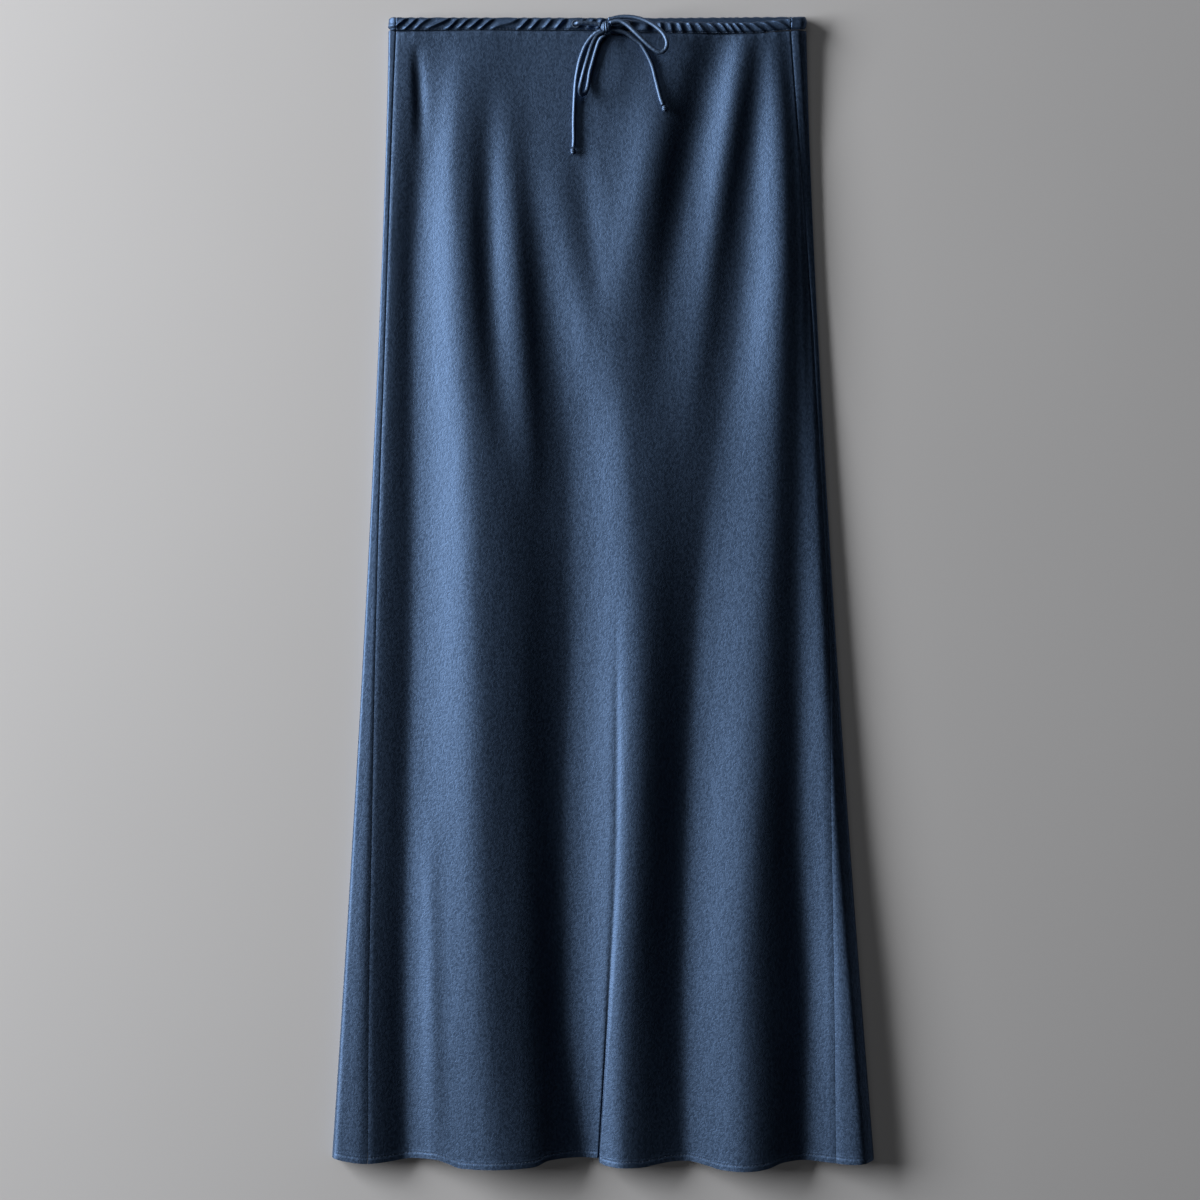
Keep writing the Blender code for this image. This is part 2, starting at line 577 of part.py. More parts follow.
def make_cord_in_casing(material):
    """The drawstring's hidden run: from the left eyelet round behind the waist to the right one."""
    front, back = spine_front(TUNNEL_PITCH), spine_back(TUNNEL_PITCH)
    front_middle = (front_waist(front[:, 0], "stitch") + front_waist(front[:, 0], "fold")) / 2
    back_middle = sum(back_lines(back)) / 2
    front_run = np.stack([front[:, 0], front_middle, front[:, 1]], axis=-1)
    back_run = np.stack([back[:, 0], back_middle, back[:, 1]], axis=-1)
    runs = []
    for side, keep in (("left", -1), ("right", 1)):
        end = EYELETS[side][0] + keep * RUN_END
        y = (front_waist(end, "stitch") + front_waist(end, "fold")) / 2
        beyond = front_run[(front_run[:, 0] - end) * keep > TUNNEL_PITCH / 3]
        runs.append((np.array([[end, y, LAYER_MIDDLE + LAYER_RISE]]), beyond[1:-1]))
    (start, left_part), (end, right_part) = runs
    route = np.concatenate([start, left_part[::-1], back_run, right_part[::-1], end])
    return make_cord("drawstring_in_casing", route, material, RUN_PITCH)


def make_lump(name, middle, half, material):
    """A knot: a small ball with its own half sizes."""
    bm = bmesh.new()
    bmesh.ops.create_uvsphere(bm, u_segments=10, v_segments=7, radius=1)
    bmesh.ops.scale(bm, verts=bm.verts, vec=Vector(half) * MM)
    lump = link_object(name, finish_mesh(bm, name), material)
    lump.location = Vector(middle) * MM
    return lump


def make_eyelet(side, material):
    """A ring of thread round the hole that the cord comes out of."""
    x, y = EYELETS[side]
    bpy.ops.mesh.primitive_torus_add(major_segments=18, minor_segments=6,
                                     major_radius=EYELET_RING * MM, minor_radius=EYELET_THREAD * MM)
    ring = bpy.context.object
    ring.name = ring.data.name = "eyelet_" + side
    top = LAYER_MIDDLE + LAYER_RISE + CASING_SKIN[2].outward
    ring.location = Vector((x, y, top + GAP + EYELET_THREAD)) * MM
    ring.data.shade_smooth()
    ring.data.materials.append(material)
    return ring


def make_material(name, colour, roughness):
    material = bpy.data.materials.new(name)
    material.use_nodes = True
    shader = material.node_tree.nodes["Principled BSDF"]
    shader.inputs["Base Color"].default_value = (*colour, 1)
    shader.inputs["Roughness"].default_value = roughness
    shader.inputs["Metallic"].default_value = 0
    return material


def main():
    for old in list(bpy.data.objects):
        bpy.data.objects.remove(old)
    navy = (0.035, 0.062, 0.118)
    make_front_panel(make_material("front satin", navy, 0.38))
    make_back_panel(make_material("back satin", navy, 0.38))
    make_front_casing(make_material("front casing satin", (0.032, 0.057, 0.108), 0.42))
    make_back_casing(make_material("back casing satin", (0.030, 0.054, 0.103), 0.42))
    for side in EYELETS:
        make_eyelet(side, make_material("eyelet thread " + side, (0.040, 0.066, 0.120), 0.6))
    rouleau = (0.052, 0.086, 0.150)
    make_cord_in_casing(make_material("satin cord in casing", rouleau, 0.4))
    for name, route in ROUTES.items():
        make_cord(name, smooth_route(route), make_material(name + " satin", rouleau, 0.4))
    make_lump("drawstring_knot", KNOT_AT, KNOT_HALF, make_material("knot satin", rouleau, 0.4))
    for name, place in END_KNOTS.items():
        make_lump(name, place, END_KNOT_HALF, make_material(name + " satin", rouleau, 0.4))


main()
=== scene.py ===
# A long satin skirt laid flat on its back, front up, with its drawstring tied in a bow.
# Everything is in metres: the waist is at +Y, the hem at -Y, and the surface under the skirt is z = 0.

import math

import bmesh
import bpy
import numpy as np
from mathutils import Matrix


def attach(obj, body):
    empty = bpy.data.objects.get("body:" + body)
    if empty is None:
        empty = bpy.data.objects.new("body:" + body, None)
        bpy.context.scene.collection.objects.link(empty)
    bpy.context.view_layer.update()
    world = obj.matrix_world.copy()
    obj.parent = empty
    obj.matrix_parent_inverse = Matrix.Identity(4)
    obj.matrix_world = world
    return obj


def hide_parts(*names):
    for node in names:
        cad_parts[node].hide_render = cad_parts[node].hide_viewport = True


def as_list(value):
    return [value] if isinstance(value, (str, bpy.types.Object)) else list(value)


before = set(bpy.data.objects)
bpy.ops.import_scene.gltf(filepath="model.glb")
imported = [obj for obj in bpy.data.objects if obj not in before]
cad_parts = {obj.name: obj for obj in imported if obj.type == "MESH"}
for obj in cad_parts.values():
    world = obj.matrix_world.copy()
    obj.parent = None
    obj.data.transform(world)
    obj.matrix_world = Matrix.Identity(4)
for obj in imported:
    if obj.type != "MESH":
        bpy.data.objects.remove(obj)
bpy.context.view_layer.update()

print("skirt: the solids are loaded")

camera = {"over": (-0.0026, -0.0069), "aimHeight": 0.010, "distance": 2.5, "frameWidth": 1.032, "sensor": 36,
          "nearest": 0.05}


def linkObject(name, data):
    made = bpy.data.objects.new(name, data)
    bpy.context.scene.collection.objects.link(made)
    return made


cameraData = bpy.data.cameras.new("overheadCamera")
cameraData.sensor_width = camera["sensor"]
cameraData.lens = camera["sensor"] * camera["distance"] / camera["frameWidth"]
cameraData.clip_start = camera["nearest"]
cameraObject = linkObject("overheadCamera", cameraData)
cameraObject.location = (*camera["over"], camera["aimHeight"] + camera["distance"])
bpy.context.scene.camera = cameraObject
print("skirt: the camera looks straight down")


# Reads a smooth curve through knots and values at each place: between two knots it is a cubic whose
# slopes are the weighted harmonic mean of the slopes on both sides, so it never overshoots.
def smoothRead(knots, values, at):
    at = np.asarray(at, float)
    shape = at.shape + (np.shape(knots)[-1],)
    knots = np.broadcast_to(np.asarray(knots, float), shape)
    values = np.broadcast_to(np.asarray(values, float), shape)
    span = np.diff(knots)
    slope = np.diff(values) / span
    before, after = slope[..., :-1], slope[..., 1:]
    steady = before * after > 0
    first = 2 * span[..., 1:] + span[..., :-1]
    second = span[..., 1:] + 2 * span[..., :-1]
    before, after = np.where(steady, before, 1), np.where(steady, after, 1)
    mean = (first + second) / (first / before + second / after)
    tangent = np.concatenate([slope[..., :1], np.where(steady, mean, 0), slope[..., -1:]], axis=-1)
    piece = np.clip((at[..., None] >= knots[..., 1:-1]).sum(-1), 0, shape[-1] - 2)[..., None]

    def pick(table):
        return np.take_along_axis(table, piece, -1)[..., 0]

    width = pick(span)
    part = np.clip((at - pick(knots[..., :-1])) / width, 0, 1)
    rest = 1 - part
    start, end = pick(values[..., :-1]), pick(values[..., 1:])
    pull = width * part * rest * (pick(tangent[..., :-1]) * rest - pick(tangent[..., 1:]) * part)
    return start * (1 + 2 * part) * rest ** 2 + end * (3 - 2 * part) * part ** 2 + pull


# Eases from 0 to 1 as value goes from low to high: 3p^2 - 2p^3 of the clipped share p.
def ease(low, high, value):
    part = np.clip((value - low) / (high - low), 0, 1)
    return part * part * (3 - 2 * part)


# A Catmull-Rom curve through the route's own points, each span cut into the same number of steps.
def smoothRoute(points, steps=10):
    points = np.asarray(points, float)
    before, after = 2 * points[:1] - points[1:2], 2 * points[-1:] - points[-2:-1]
    padded = np.concatenate([before, points, after])
    a, b, c, d = (padded[k:len(padded) - 3 + k, None, :] for k in range(4))
    part = (np.arange(steps) / steps)[None, :, None]
    bend = (2 * a - 5 * b + 4 * c - d) * part ** 2 + (3 * b - a - 3 * c + d) * part ** 3
    curve = 0.5 * (2 * b + (c - a) * part + bend)
    return np.concatenate([curve.reshape(-1, 3), points[-1:]])


# Stacks coordinates that may each lack an axis of the grid.
def together(*parts):
    return np.stack(np.broadcast_arrays(*parts), axis=-1)


def unit(vectors):
    return vectors / np.linalg.norm(vectors, axis=1, keepdims=True)


# How far along a line of points each of them lies.
def runAlong(line):
    return np.concatenate([[0], np.cumsum(np.linalg.norm(np.diff(line, axis=0), axis=1))])


# Evenly spaced angles once round, without the one that closes the circle.
def onceRound(count):
    return 2 * math.pi * np.arange(count) / count


# Turns a closed mesh's faces outward.
def faceOutward(mesh):
    shell = bmesh.new()
    shell.from_mesh(mesh)
    bmesh.ops.recalc_face_normals(shell, faces=shell.faces)
    shell.to_mesh(mesh)
    shell.free()


# The step between neighbouring points in the UV of a piece that brings none of its own.
plainUvStep = 0.001


# Puts a grid of points into a mesh. Its columns may close on themselves, a tube may get flat ends, and
# every corner keeps its own place across and along the cloth as its UV.
def gridObject(name, points, material, uv=None, wrap=False, caps=False, flip=False, rubSheen=None):
    rows, columns = points.shape[:2]
    across = columns if wrap else columns - 1
    i, j = np.meshgrid(np.arange(rows - 1), np.arange(across), indexing="ij")
    i, j = i.ravel(), j.ravel()
    cornerRow = np.stack([i, i, i + 1, i + 1], axis=-1)
    cornerColumn = np.stack([j, j + 1, j + 1, j], axis=-1)
    if flip:
        cornerRow, cornerColumn = cornerRow[:, ::-1], cornerColumn[:, ::-1]
    faces = (cornerRow * columns + cornerColumn % columns).tolist()
    if uv is None:
        uv = np.stack(np.meshgrid(np.arange(rows), np.arange(across + 1), indexing="ij")[::-1], axis=-1) * plainUvStep
    corners = uv[cornerRow, cornerColumn].reshape(-1, 2)
    if caps:
        ring = list(range(columns))
        faces += [ring[::-1], [(rows - 1) * columns + k for k in ring]]
        ends = np.concatenate([uv[0, :columns][::-1], uv[-1, :columns]])
        corners = np.concatenate([corners, ends])
    mesh = bpy.data.meshes.new(name)
    mesh.from_pydata(points.reshape(-1, 3), [], faces)
    mesh.uv_layers.new(name="UVMap").data.foreach_set("uv", corners.astype(np.float32).ravel())
    # The rub attribute carries the painted sheen and the rubbing on folded edges.
    if rubSheen is not None:
        mesh.attributes.new("rubSheen", "FLOAT", "POINT").data.foreach_set("value", rubSheen.astype(np.float32).ravel())
    mesh.shade_smooth()
    if caps:
        faceOutward(mesh)
    mesh.materials.append(material)
    return linkObject(name, mesh)


# Gives a cloth its thickness under its outer face, with its cut edges, steeper than the angle, kept sharp.
cutEdgeAngle = math.radians(75)


def thicken(cloth, thickness):
    wall = cloth.modifiers.new("cloth thickness", "SOLIDIFY")
    wall.thickness = thickness
    wall.offset = -1
    wall.use_even_offset = False
    bpy.context.view_layer.update()
    face = cloth.data
    cloth.data = bpy.data.meshes.new_from_object(cloth.evaluated_get(bpy.context.evaluated_depsgraph_get()))
    cloth.modifiers.clear()
    bpy.data.meshes.remove(face)
    cloth.data.name = cloth.name
    cloth.data.set_sharp_from_angle(angle=cutEdgeAngle)


# How far apart the shader nodes lie in their editor.
nodeSpacing = 190


# Gives a node's inputs their values, by name or number: a socket is wired in, another value is set.
def feed(tree, node, values):
    for key, value in values.items():
        if isinstance(value, bpy.types.NodeSocket):
            tree.links.new(value, node.inputs[key])
        else:
            node.inputs[key].default_value = value


# Adds a shader node to the right of the others, with its settings and the values of its inputs.
def addNode(tree, kind, values=None, **settings):
    node = tree.nodes.new("ShaderNode" + kind)
    node.location = (nodeSpacing * len(tree.nodes), 0)
    for key, value in settings.items():
        setattr(node, key, value)
    feed(tree, node, values or {})
    return node


def mathNode(tree, operation, *values):
    return addNode(tree, "Math", dict(enumerate(values)), operation=operation).outputs[0]


def mixColours(tree, share, first, second):
    values = {"Factor": share, "A": first, "B": second}
    return addNode(tree, "Mix", values, data_type="RGBA").outputs["Result"]


# Starts a node group that takes a vector and numbers, given with their usual values, and gives numbers.
def nodeGroup(name, numbers, results):
    tree = bpy.data.node_groups.new(name, "ShaderNodeTree")
    tree.interface.new_socket(name="Vector", in_out="INPUT", socket_type="NodeSocketVector")
    for label, value in numbers.items():
        socket = tree.interface.new_socket(name=label, in_out="INPUT", socket_type="NodeSocketFloat")
        socket.default_value = value
    for label in results:
        tree.interface.new_socket(name=label, in_out="OUTPUT", socket_type="NodeSocketFloat")
    result = tree.nodes.new("NodeGroupOutput")
    result.location = (0, nodeSpacing)
    return tree, tree.nodes.new("NodeGroupInput").outputs, result


def newMaterial(name):
    material = bpy.data.materials.new(name)
    material.use_nodes = True
    return material, material.node_tree, material.node_tree.nodes["Principled BSDF"]


def finishShader(tree, shader, settings, colour, rough, relief):
    feed(tree, shader, {
        "Base Color": colour, "Roughness": rough.outputs["Result"], "Normal": relief.outputs["Normal"],
        "Metallic": settings["metallic"], "Specular IOR Level": settings["specular"]})


# About how many lines to the metre a wave texture of scale 1 has.
waveLines = 3.14


# The satin's face: a wormy grain of short floats, and a fine twill that crosses it. Tone and Relief are
# both 0 to 1, the noise pulled to full contrast and the twill added in the share that is asked for.
def buildSatinGrain():
    numbers = {"Grains Per Metre": 420.0, "Wormy": 1.1, "Twill Lines Per Metre": 700.0, "Twill Share": 0.25}
    tree, given, result = nodeGroup("satinGrain", numbers, ("Tone", "Relief"))
    stretch = addNode(tree, "Mapping", {
        "Vector": given["Vector"], "Rotation": (0, 0, math.radians(38)), "Scale": (1.0, 0.8, 1.0)})
    grain = addNode(tree, "TexNoise", {
        "Vector": stretch.outputs["Vector"], "Scale": given["Grains Per Metre"],
        "Detail": 1.2, "Roughness": 0.55, "Distortion": given["Wormy"]})
    contrast = addNode(tree, "MapRange", {
        "Value": grain.outputs["Fac"], "From Min": 0.36, "From Max": 0.64})
    turn = addNode(tree, "Mapping", {
        "Vector": given["Vector"], "Rotation": (0, 0, math.radians(-52))})
    lines = mathNode(tree, "DIVIDE", given["Twill Lines Per Metre"], waveLines)
    twill = addNode(tree, "TexWave", {
        "Vector": turn.outputs["Vector"], "Scale": lines, "Distortion": 1.2, "Detail": 1.0},
        wave_type="BANDS", bands_direction="X")
    mixed = addNode(tree, "Mix", {
        "Factor": given["Twill Share"], "A": contrast.outputs["Result"], "B": twill.outputs["Fac"]},
        data_type="FLOAT")
    feed(tree, result, {"Tone": mixed.outputs["Result"], "Relief": mixed.outputs["Result"]})
    return tree


# Handling: soft wide patches where the cloth was pressed or rubbed, from a low noise, with the mesh's
# own rub mask, which is 1 on folded edges, where it lays on rubbing and a painted sheen.
def buildHandlingAndSheen():
    numbers = {"Patches Per Metre": 9.0, "Creases Per Metre": 45.0}
    tree, given, result = nodeGroup("handlingAndSheen", numbers, ("Patches", "Creases", "RubSheen"))
    stretch = addNode(tree, "Mapping", {"Vector": given["Vector"], "Scale": (1.0, 0.3, 1.0)})
    for name, detail in (("Patches", 2.0), ("Creases", 3.0)):
        noise = addNode(tree, "TexNoise", {
            "Vector": stretch.outputs["Vector"], "Scale": given[name + " Per Metre"], "Detail": detail})
        spread = addNode(tree, "MapRange", {
            "Value": noise.outputs["Fac"], "From Min": 0.3, "From Max": 0.7})
        feed(tree, result, {name: spread.outputs["Result"]})
    mask = addNode(tree, "Attribute", attribute_name="rubSheen")
    feed(tree, result, {"RubSheen": mask.outputs["Fac"]})
    return tree


# Thread: fine strands that wind round, as a wave that is high on their crowns and low between; the thread's material
# paints a highlight on the crowns and shade between them.
def buildTwistedThread():
    tree, given, result = nodeGroup("twistedThread", {"Turns Per Metre": 900.0}, ("Strand",))
    turn = addNode(tree, "Mapping", {
        "Vector": given["Vector"], "Rotation": (0.4, 0.3, math.radians(35))})
    turns = mathNode(tree, "DIVIDE", given["Turns Per Metre"], waveLines)
    strand = addNode(tree, "TexWave", {
        "Vector": turn.outputs["Vector"], "Scale": turns, "Distortion": 0.8},
        wave_type="BANDS", bands_direction="X")
    feed(tree, result, {"Strand": strand.outputs["Fac"]})
    return tree


satinGrain = buildSatinGrain()
handlingAndSheen = buildHandlingAndSheen()
twistedThread = buildTwistedThread()

# The rubbed colour is a pale, whitish navy: a painted sheen on folded edges, laid on with rubbing.
navySatin = {
    "deep": (0.053, 0.092, 0.170), "bright": (0.093, 0.153, 0.267), "rubbedSheen": (0.115, 0.175, 0.290),
    "metallic": 0.92, "roughness": 0.56, "roughnessSpread": 0.05, "specular": 0.5,
    "patchShare": 0.35, "rubSheenShare": 0.35, "grainRelief": 0.00016, "creaseRelief": 0.0004,
}
casingSatin = {**navySatin, "deep": (0.055, 0.098, 0.182), "bright": (0.072, 0.120, 0.216), "creaseRelief": 0.0006}
cordSatin = {**navySatin, "deep": (0.073, 0.120, 0.210), "bright": (0.106, 0.165, 0.272), "roughness": 0.52,
             "grainRelief": 0.00008, "creaseRelief": 0.0003}
# The thread's dark and light colours are painted shade between its strands and a painted highlight on their crowns.
stitchThread = {"shadeBetweenStrands": (0.035, 0.055, 0.095), "highlightOnStrands": (0.13, 0.18, 0.27), "metallic": 0.15, "roughness": 0.55,
                "roughnessSpread": 0.15, "specular": 0.4, "relief": 0.0001}
eyeletThread = {**stitchThread, "highlightOnStrands": (0.085, 0.135, 0.220)}


# Satin: base colour between a deep and a bright navy by the grain, paler on folded edges, where rubbing and
# a painted sheen are laid on; roughness moves with grain and patches; the grain and the faint creases are a bump.
def satinMaterial(name, settings, coordinates="UV", grains=490.0, twillShare=0.2):
    material, tree, shader = newMaterial(name)
    place = addNode(tree, "TexCoord")
    grain = addNode(tree, "Group", {
        "Vector": place.outputs[coordinates], "Grains Per Metre": grains, "Twill Share": twillShare},
        node_tree=satinGrain)
    wearAndSheen = addNode(tree, "Group", {"Vector": place.outputs["Object"]}, node_tree=handlingAndSheen)
    share = settings["patchShare"]
    patched = mathNode(tree, "MULTIPLY_ADD", wearAndSheen.outputs["Patches"], share, -share / 2)
    tone = mathNode(tree, "ADD", grain.outputs["Tone"], patched)
    colour = mixColours(tree, tone, (*settings["deep"], 1), (*settings["bright"], 1))
    # Paler towards the rubbed colour on folded edges: painted sheen with rubbing.
    rubSheen = mathNode(tree, "MULTIPLY", wearAndSheen.outputs["RubSheen"], settings["rubSheenShare"])
    rubbedSheen = mixColours(tree, rubSheen, colour, (*settings["rubbedSheen"], 1))
    middle, spread = settings["roughness"], settings["roughnessSpread"]
    rough = addNode(tree, "MapRange", {"Value": tone, "To Min": middle - spread, "To Max": middle + spread})
    creases = addNode(tree, "Bump", {
        "Height": wearAndSheen.outputs["Creases"], "Strength": 0.5, "Distance": settings["creaseRelief"]})
    relief = addNode(tree, "Bump", {
        "Height": grain.outputs["Relief"], "Strength": 0.6, "Distance": settings["grainRelief"],
        "Normal": creases.outputs["Normal"]})
    finishShader(tree, shader, settings, rubbedSheen, rough, relief)
    return material


# Thread: painted shade between its strands and a painted highlight on them, with the strands as a bump.
def threadMaterial(name, settings, turns=900.0):
    material, tree, shader = newMaterial(name)
    place = addNode(tree, "TexCoord")
    strands = addNode(tree, "Group", {
        "Vector": place.outputs["Object"], "Turns Per Metre": turns}, node_tree=twistedThread)
    strand = strands.outputs["Strand"]
    # Painted shade between the strands and a painted highlight on their crowns.
    colour = mixColours(tree, strand, (*settings["shadeBetweenStrands"], 1), (*settings["highlightOnStrands"], 1))
    least, spread = settings["roughness"], settings["roughnessSpread"]
    rough = addNode(tree, "MapRange", {"Value": strand, "To Min": least, "To Max": least + spread})
    relief = addNode(tree, "Bump", {"Height": strand, "Strength": 0.6, "Distance": settings["relief"]})
    finishShader(tree, shader, settings, colour, rough, relief)
    return material


print("skirt: the materials' node groups are built")

# The drawstring's free parts, in the order in which each runs, from the knot or the casing.
drawstring = {
    "thickness": 0.0038, "around": 20, "bareRadius": 0.985,
    "seam": 0.07, "seamAngle": 2.2, "seamHalfWidth": 0.3, "sway": 0.9, "swayRate": 18,
    "wrinkle": 0.03, "wrinklesPerMetre": 260, "wrinkleTwist": 2, "calmest": 0.4, "calmRate": 41, "calmStart": 1.3,
    "routes": {
        "leadLeft": (
            (-0.0234, 0.4878, 0.0120), (-0.0234, 0.4878, 0.0144), (-0.0226, 0.4878, 0.0161),
            (-0.0206, 0.4878, 0.0173), (-0.0170, 0.4878, 0.0174), (-0.0120, 0.4875, 0.0172),
            (-0.0060, 0.4869, 0.0171), (-0.0022, 0.4864, 0.0174)),
        "leadRight": (
            (0.0216, 0.4874, 0.0120), (0.0216, 0.4874, 0.0144), (0.0208, 0.4874, 0.0161),
            (0.0188, 0.4873, 0.0173), (0.0156, 0.4870, 0.0174), (0.0120, 0.4865, 0.0173),
            (0.0074, 0.4860, 0.0174)),
        "loopLeft": (
            (0.0004, 0.4790, 0.0200), (-0.0052, 0.4756, 0.0224), (-0.0095, 0.4670, 0.0258),
            (-0.0125, 0.4575, 0.0282), (-0.0155, 0.4472, 0.0294), (-0.0180, 0.4377, 0.0286),
            (-0.0196, 0.4309, 0.0256), (-0.0194, 0.4273, 0.0218), (-0.0174, 0.4264, 0.0180),
            (-0.0144, 0.4296, 0.0148), (-0.0125, 0.4377, 0.0135), (-0.0112, 0.4463, 0.0133),
            (-0.0086, 0.4558, 0.0136), (-0.0056, 0.4661, 0.0140), (-0.0026, 0.4739, 0.0147),
            (0.0022, 0.4784, 0.0159)),
        "loopRight": (
            (0.0046, 0.4909, 0.0168), (0.0138, 0.4929, 0.0174), (0.0232, 0.4928, 0.0188),
            (0.0335, 0.4902, 0.0212), (0.0430, 0.4850, 0.0240), (0.0512, 0.4773, 0.0270),
            (0.0546, 0.4696, 0.0284), (0.0534, 0.4634, 0.0286), (0.0488, 0.4606, 0.0285),
            (0.0430, 0.4635, 0.0282), (0.0353, 0.4704, 0.0275), (0.0275, 0.4782, 0.0260),
            (0.0206, 0.4850, 0.0240), (0.0138, 0.4886, 0.0223), (0.0060, 0.4876, 0.0209)),
        "tailLeft": (
            (-0.0016, 0.4816, 0.0169), (-0.0060, 0.4796, 0.0160), (-0.0112, 0.4747, 0.0145),
            (-0.0159, 0.4674, 0.0138), (-0.0198, 0.4567, 0.0134), (-0.0224, 0.4446, 0.0130),
            (-0.0236, 0.4352, 0.0127), (-0.0245, 0.4205, 0.0123), (-0.0250, 0.4040, 0.0120),
            (-0.0249, 0.3904, 0.0118), (-0.0253, 0.3820, 0.0116)),
        "tailRight": (
            (0.0067, 0.4816, 0.0157), (0.0130, 0.4812, 0.0154), (0.0198, 0.4796, 0.0152),
            (0.0267, 0.4747, 0.0149), (0.0335, 0.4687, 0.0149), (0.0413, 0.4540, 0.0153),
            (0.0451, 0.4403, 0.0161), (0.0490, 0.4248, 0.0169), (0.0514, 0.4178, 0.0171)),
    },
    "lengths": {"loopLeft": 0.124, "loopRight": 0.127, "tailLeft": 0.107, "tailRight": 0.085},
    "knot": {"at": (0.0026, 0.4842, 0.0179), "half": (0.0046, 0.0054, 0.0034), "bands": 6.5, "turns": 1,
             "depth": 0.20, "along": "x"},
    "endKnots": {
        "endKnotLeft": {"at": (-0.0258, 0.3787, 0.0118), "half": (0.0025, 0.0031, 0.0023), "bands": 5.0,
                        "turns": 1, "depth": 0.22, "along": "y"},
        "endKnotRight": {"at": (0.0528, 0.4147, 0.0172), "half": (0.0025, 0.0031, 0.0023), "bands": 5.0,
                         "turns": 1, "depth": 0.22, "along": "y"},
    },
}


# A round cord along a route: each ring stands square to the route, turned by the direction in which the
# route spreads least. The sewn seam is a low ridge that sways along it, and small wrinkles cross the cord
# in patches: its radius is the bare share, plus the seam's, plus the wrinkles' wave.
def cordTube(name, route, material):
    path = smoothRoute(route)
    heading = unit(np.gradient(path, axis=0))
    least = np.linalg.svd(path - path.mean(0))[2][-1]
    side = unit(least - heading * (heading @ least)[:, None])
    over = np.cross(heading, side)
    run = runAlong(path)
    angle = onceRound(drawstring["around"])
    turned = angle[None, :] - drawstring["sway"] * np.sin(drawstring["swayRate"] * run)[:, None]
    fromSeam = np.angle(np.exp(1j * (turned - drawstring["seamAngle"])))
    seam = drawstring["seam"] * np.exp(-(fromSeam / drawstring["seamHalfWidth"]) ** 2)
    wave = 2 * math.pi * drawstring["wrinklesPerMetre"] * run[:, None] + drawstring["wrinkleTwist"] * np.sin(turned)
    patch = np.sin(drawstring["calmRate"] * run[:, None] + drawstring["calmStart"]) ** 2
    ripple = drawstring["wrinkle"] * np.sin(wave)
    ripple = ripple * (drawstring["calmest"] + (1 - drawstring["calmest"]) * patch)
    radius = drawstring["thickness"] / 2 * (drawstring["bareRadius"] + seam + ripple)
    ring = np.cos(angle)[None, :, None] * side[:, None, :] + np.sin(angle)[None, :, None] * over[:, None, :]
    points = path[:, None, :] + radius[..., None] * ring
    wide = np.linspace(0, math.pi * drawstring["thickness"], drawstring["around"] + 1)
    uv = together(wide[None, :], run[:, None])
    return gridObject(name, points, material, uv=uv, wrap=True, caps=True), path


knotGrid = {"rows": 34, "around": 40, "pole": 0.03, "grooveSharpness": 3}


# A pulled knot: an ellipsoid whose radius dips in bands that wind round its long way, as a cord does.
def knotLump(name, settings, material):
    rows, around, pole = knotGrid["rows"], knotGrid["around"], knotGrid["pole"]
    reach = np.linspace(pole, math.pi - pole, rows)[:, None]
    turn = onceRound(around)[None, :]
    groove = 0.5 + 0.5 * np.cos(settings["bands"] * reach * 2 + settings["turns"] * turn)
    swell = 1 - settings["depth"] * groove ** knotGrid["grooveSharpness"] * np.sin(reach)
    poleways = np.cos(reach) * swell
    first, second = np.sin(reach) * np.cos(turn) * swell, np.sin(reach) * np.sin(turn) * swell
    ball = {"x": (poleways, first, second), "y": (second, poleways, first)}[settings["along"]]
    points = together(*ball) * settings["half"] + settings["at"]
    return gridObject(name, points, material, wrap=True, caps=True)


cordGrains = 900.0
cordCloth = satinMaterial("drawstringSatin", cordSatin, grains=cordGrains, twillShare=0.35)
cords = {name: cordTube(name, route, cordCloth) for name, route in drawstring["routes"].items()}
bowKnot = knotLump("bowKnot", drawstring["knot"], cordCloth)
endKnots = {name: knotLump(name, row, cordCloth) for name, row in drawstring["endKnots"].items()}

for name, node in (("leadLeft", "drawstring_lead_left"), ("leadRight", "drawstring_lead_right"),
                   ("loopLeft", "drawstring_loop_left"), ("loopRight", "drawstring_loop_right"),
                   ("tailLeft", "drawstring_tail_left"), ("tailRight", "drawstring_tail_right")):
    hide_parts(node)
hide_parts("drawstring_knot")
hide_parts("tail_knot_left")
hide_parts("tail_knot_right")
for piece in [made for made, path in cords.values()] + [bowKnot, *endKnots.values()]:
    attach(piece, "root")
for name, others in (("loopLeft", [cords["leadLeft"][0], bowKnot]), ("loopRight", [cords["leadRight"][0]]),
                     ("tailLeft", [endKnots["endKnotLeft"]]), ("tailRight", [endKnots["endKnotRight"]])):
    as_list(others)
print("skirt: the drawstring's leads, loops, tails and knots are made")

skirt = {
    "halfWidthHem": 0.2335, "waistLeft": 0.1850, "waistRight": 0.1755, "flare": 1.35,
    "topY": 0.4833, "hemY": -0.4862, "thickness": 0.0008, "gap": 0.0003,
    "edgeRadius": 0.004, "rim": ((0.92, 0.6), (0.35, 0.35)), "rimPower": 22, "edgeFullness": 1.15,
    "soften": 0.003, "softenShares": ((-2, 0.08), (-1, 0.24), (0, 0.36), (1, 0.24), (2, 0.08)),
    "softenFade": 10, "detailFade": 0.004,
    "stations": (0, 0.053, 0.117, 0.185, 0.263, 0.369, 0.506, 0.682, 0.837, 0.9695),
    "leftSeam": (0.007, 0.0056, 0.0052, 0.0054, 0.006, 0.007, 0.010, 0.0165, 0.0235, 0.0315),
    "rightSeam": (0.014, 0.0112, 0.0085, 0.006, 0.0045, 0.0045, 0.006, 0.0155, 0.0245, 0.0335),
    "seamDip": 0.0005, "seamReach": 0.0008,
}
skirtLength = skirt["topY"] - skirt["hemY"]

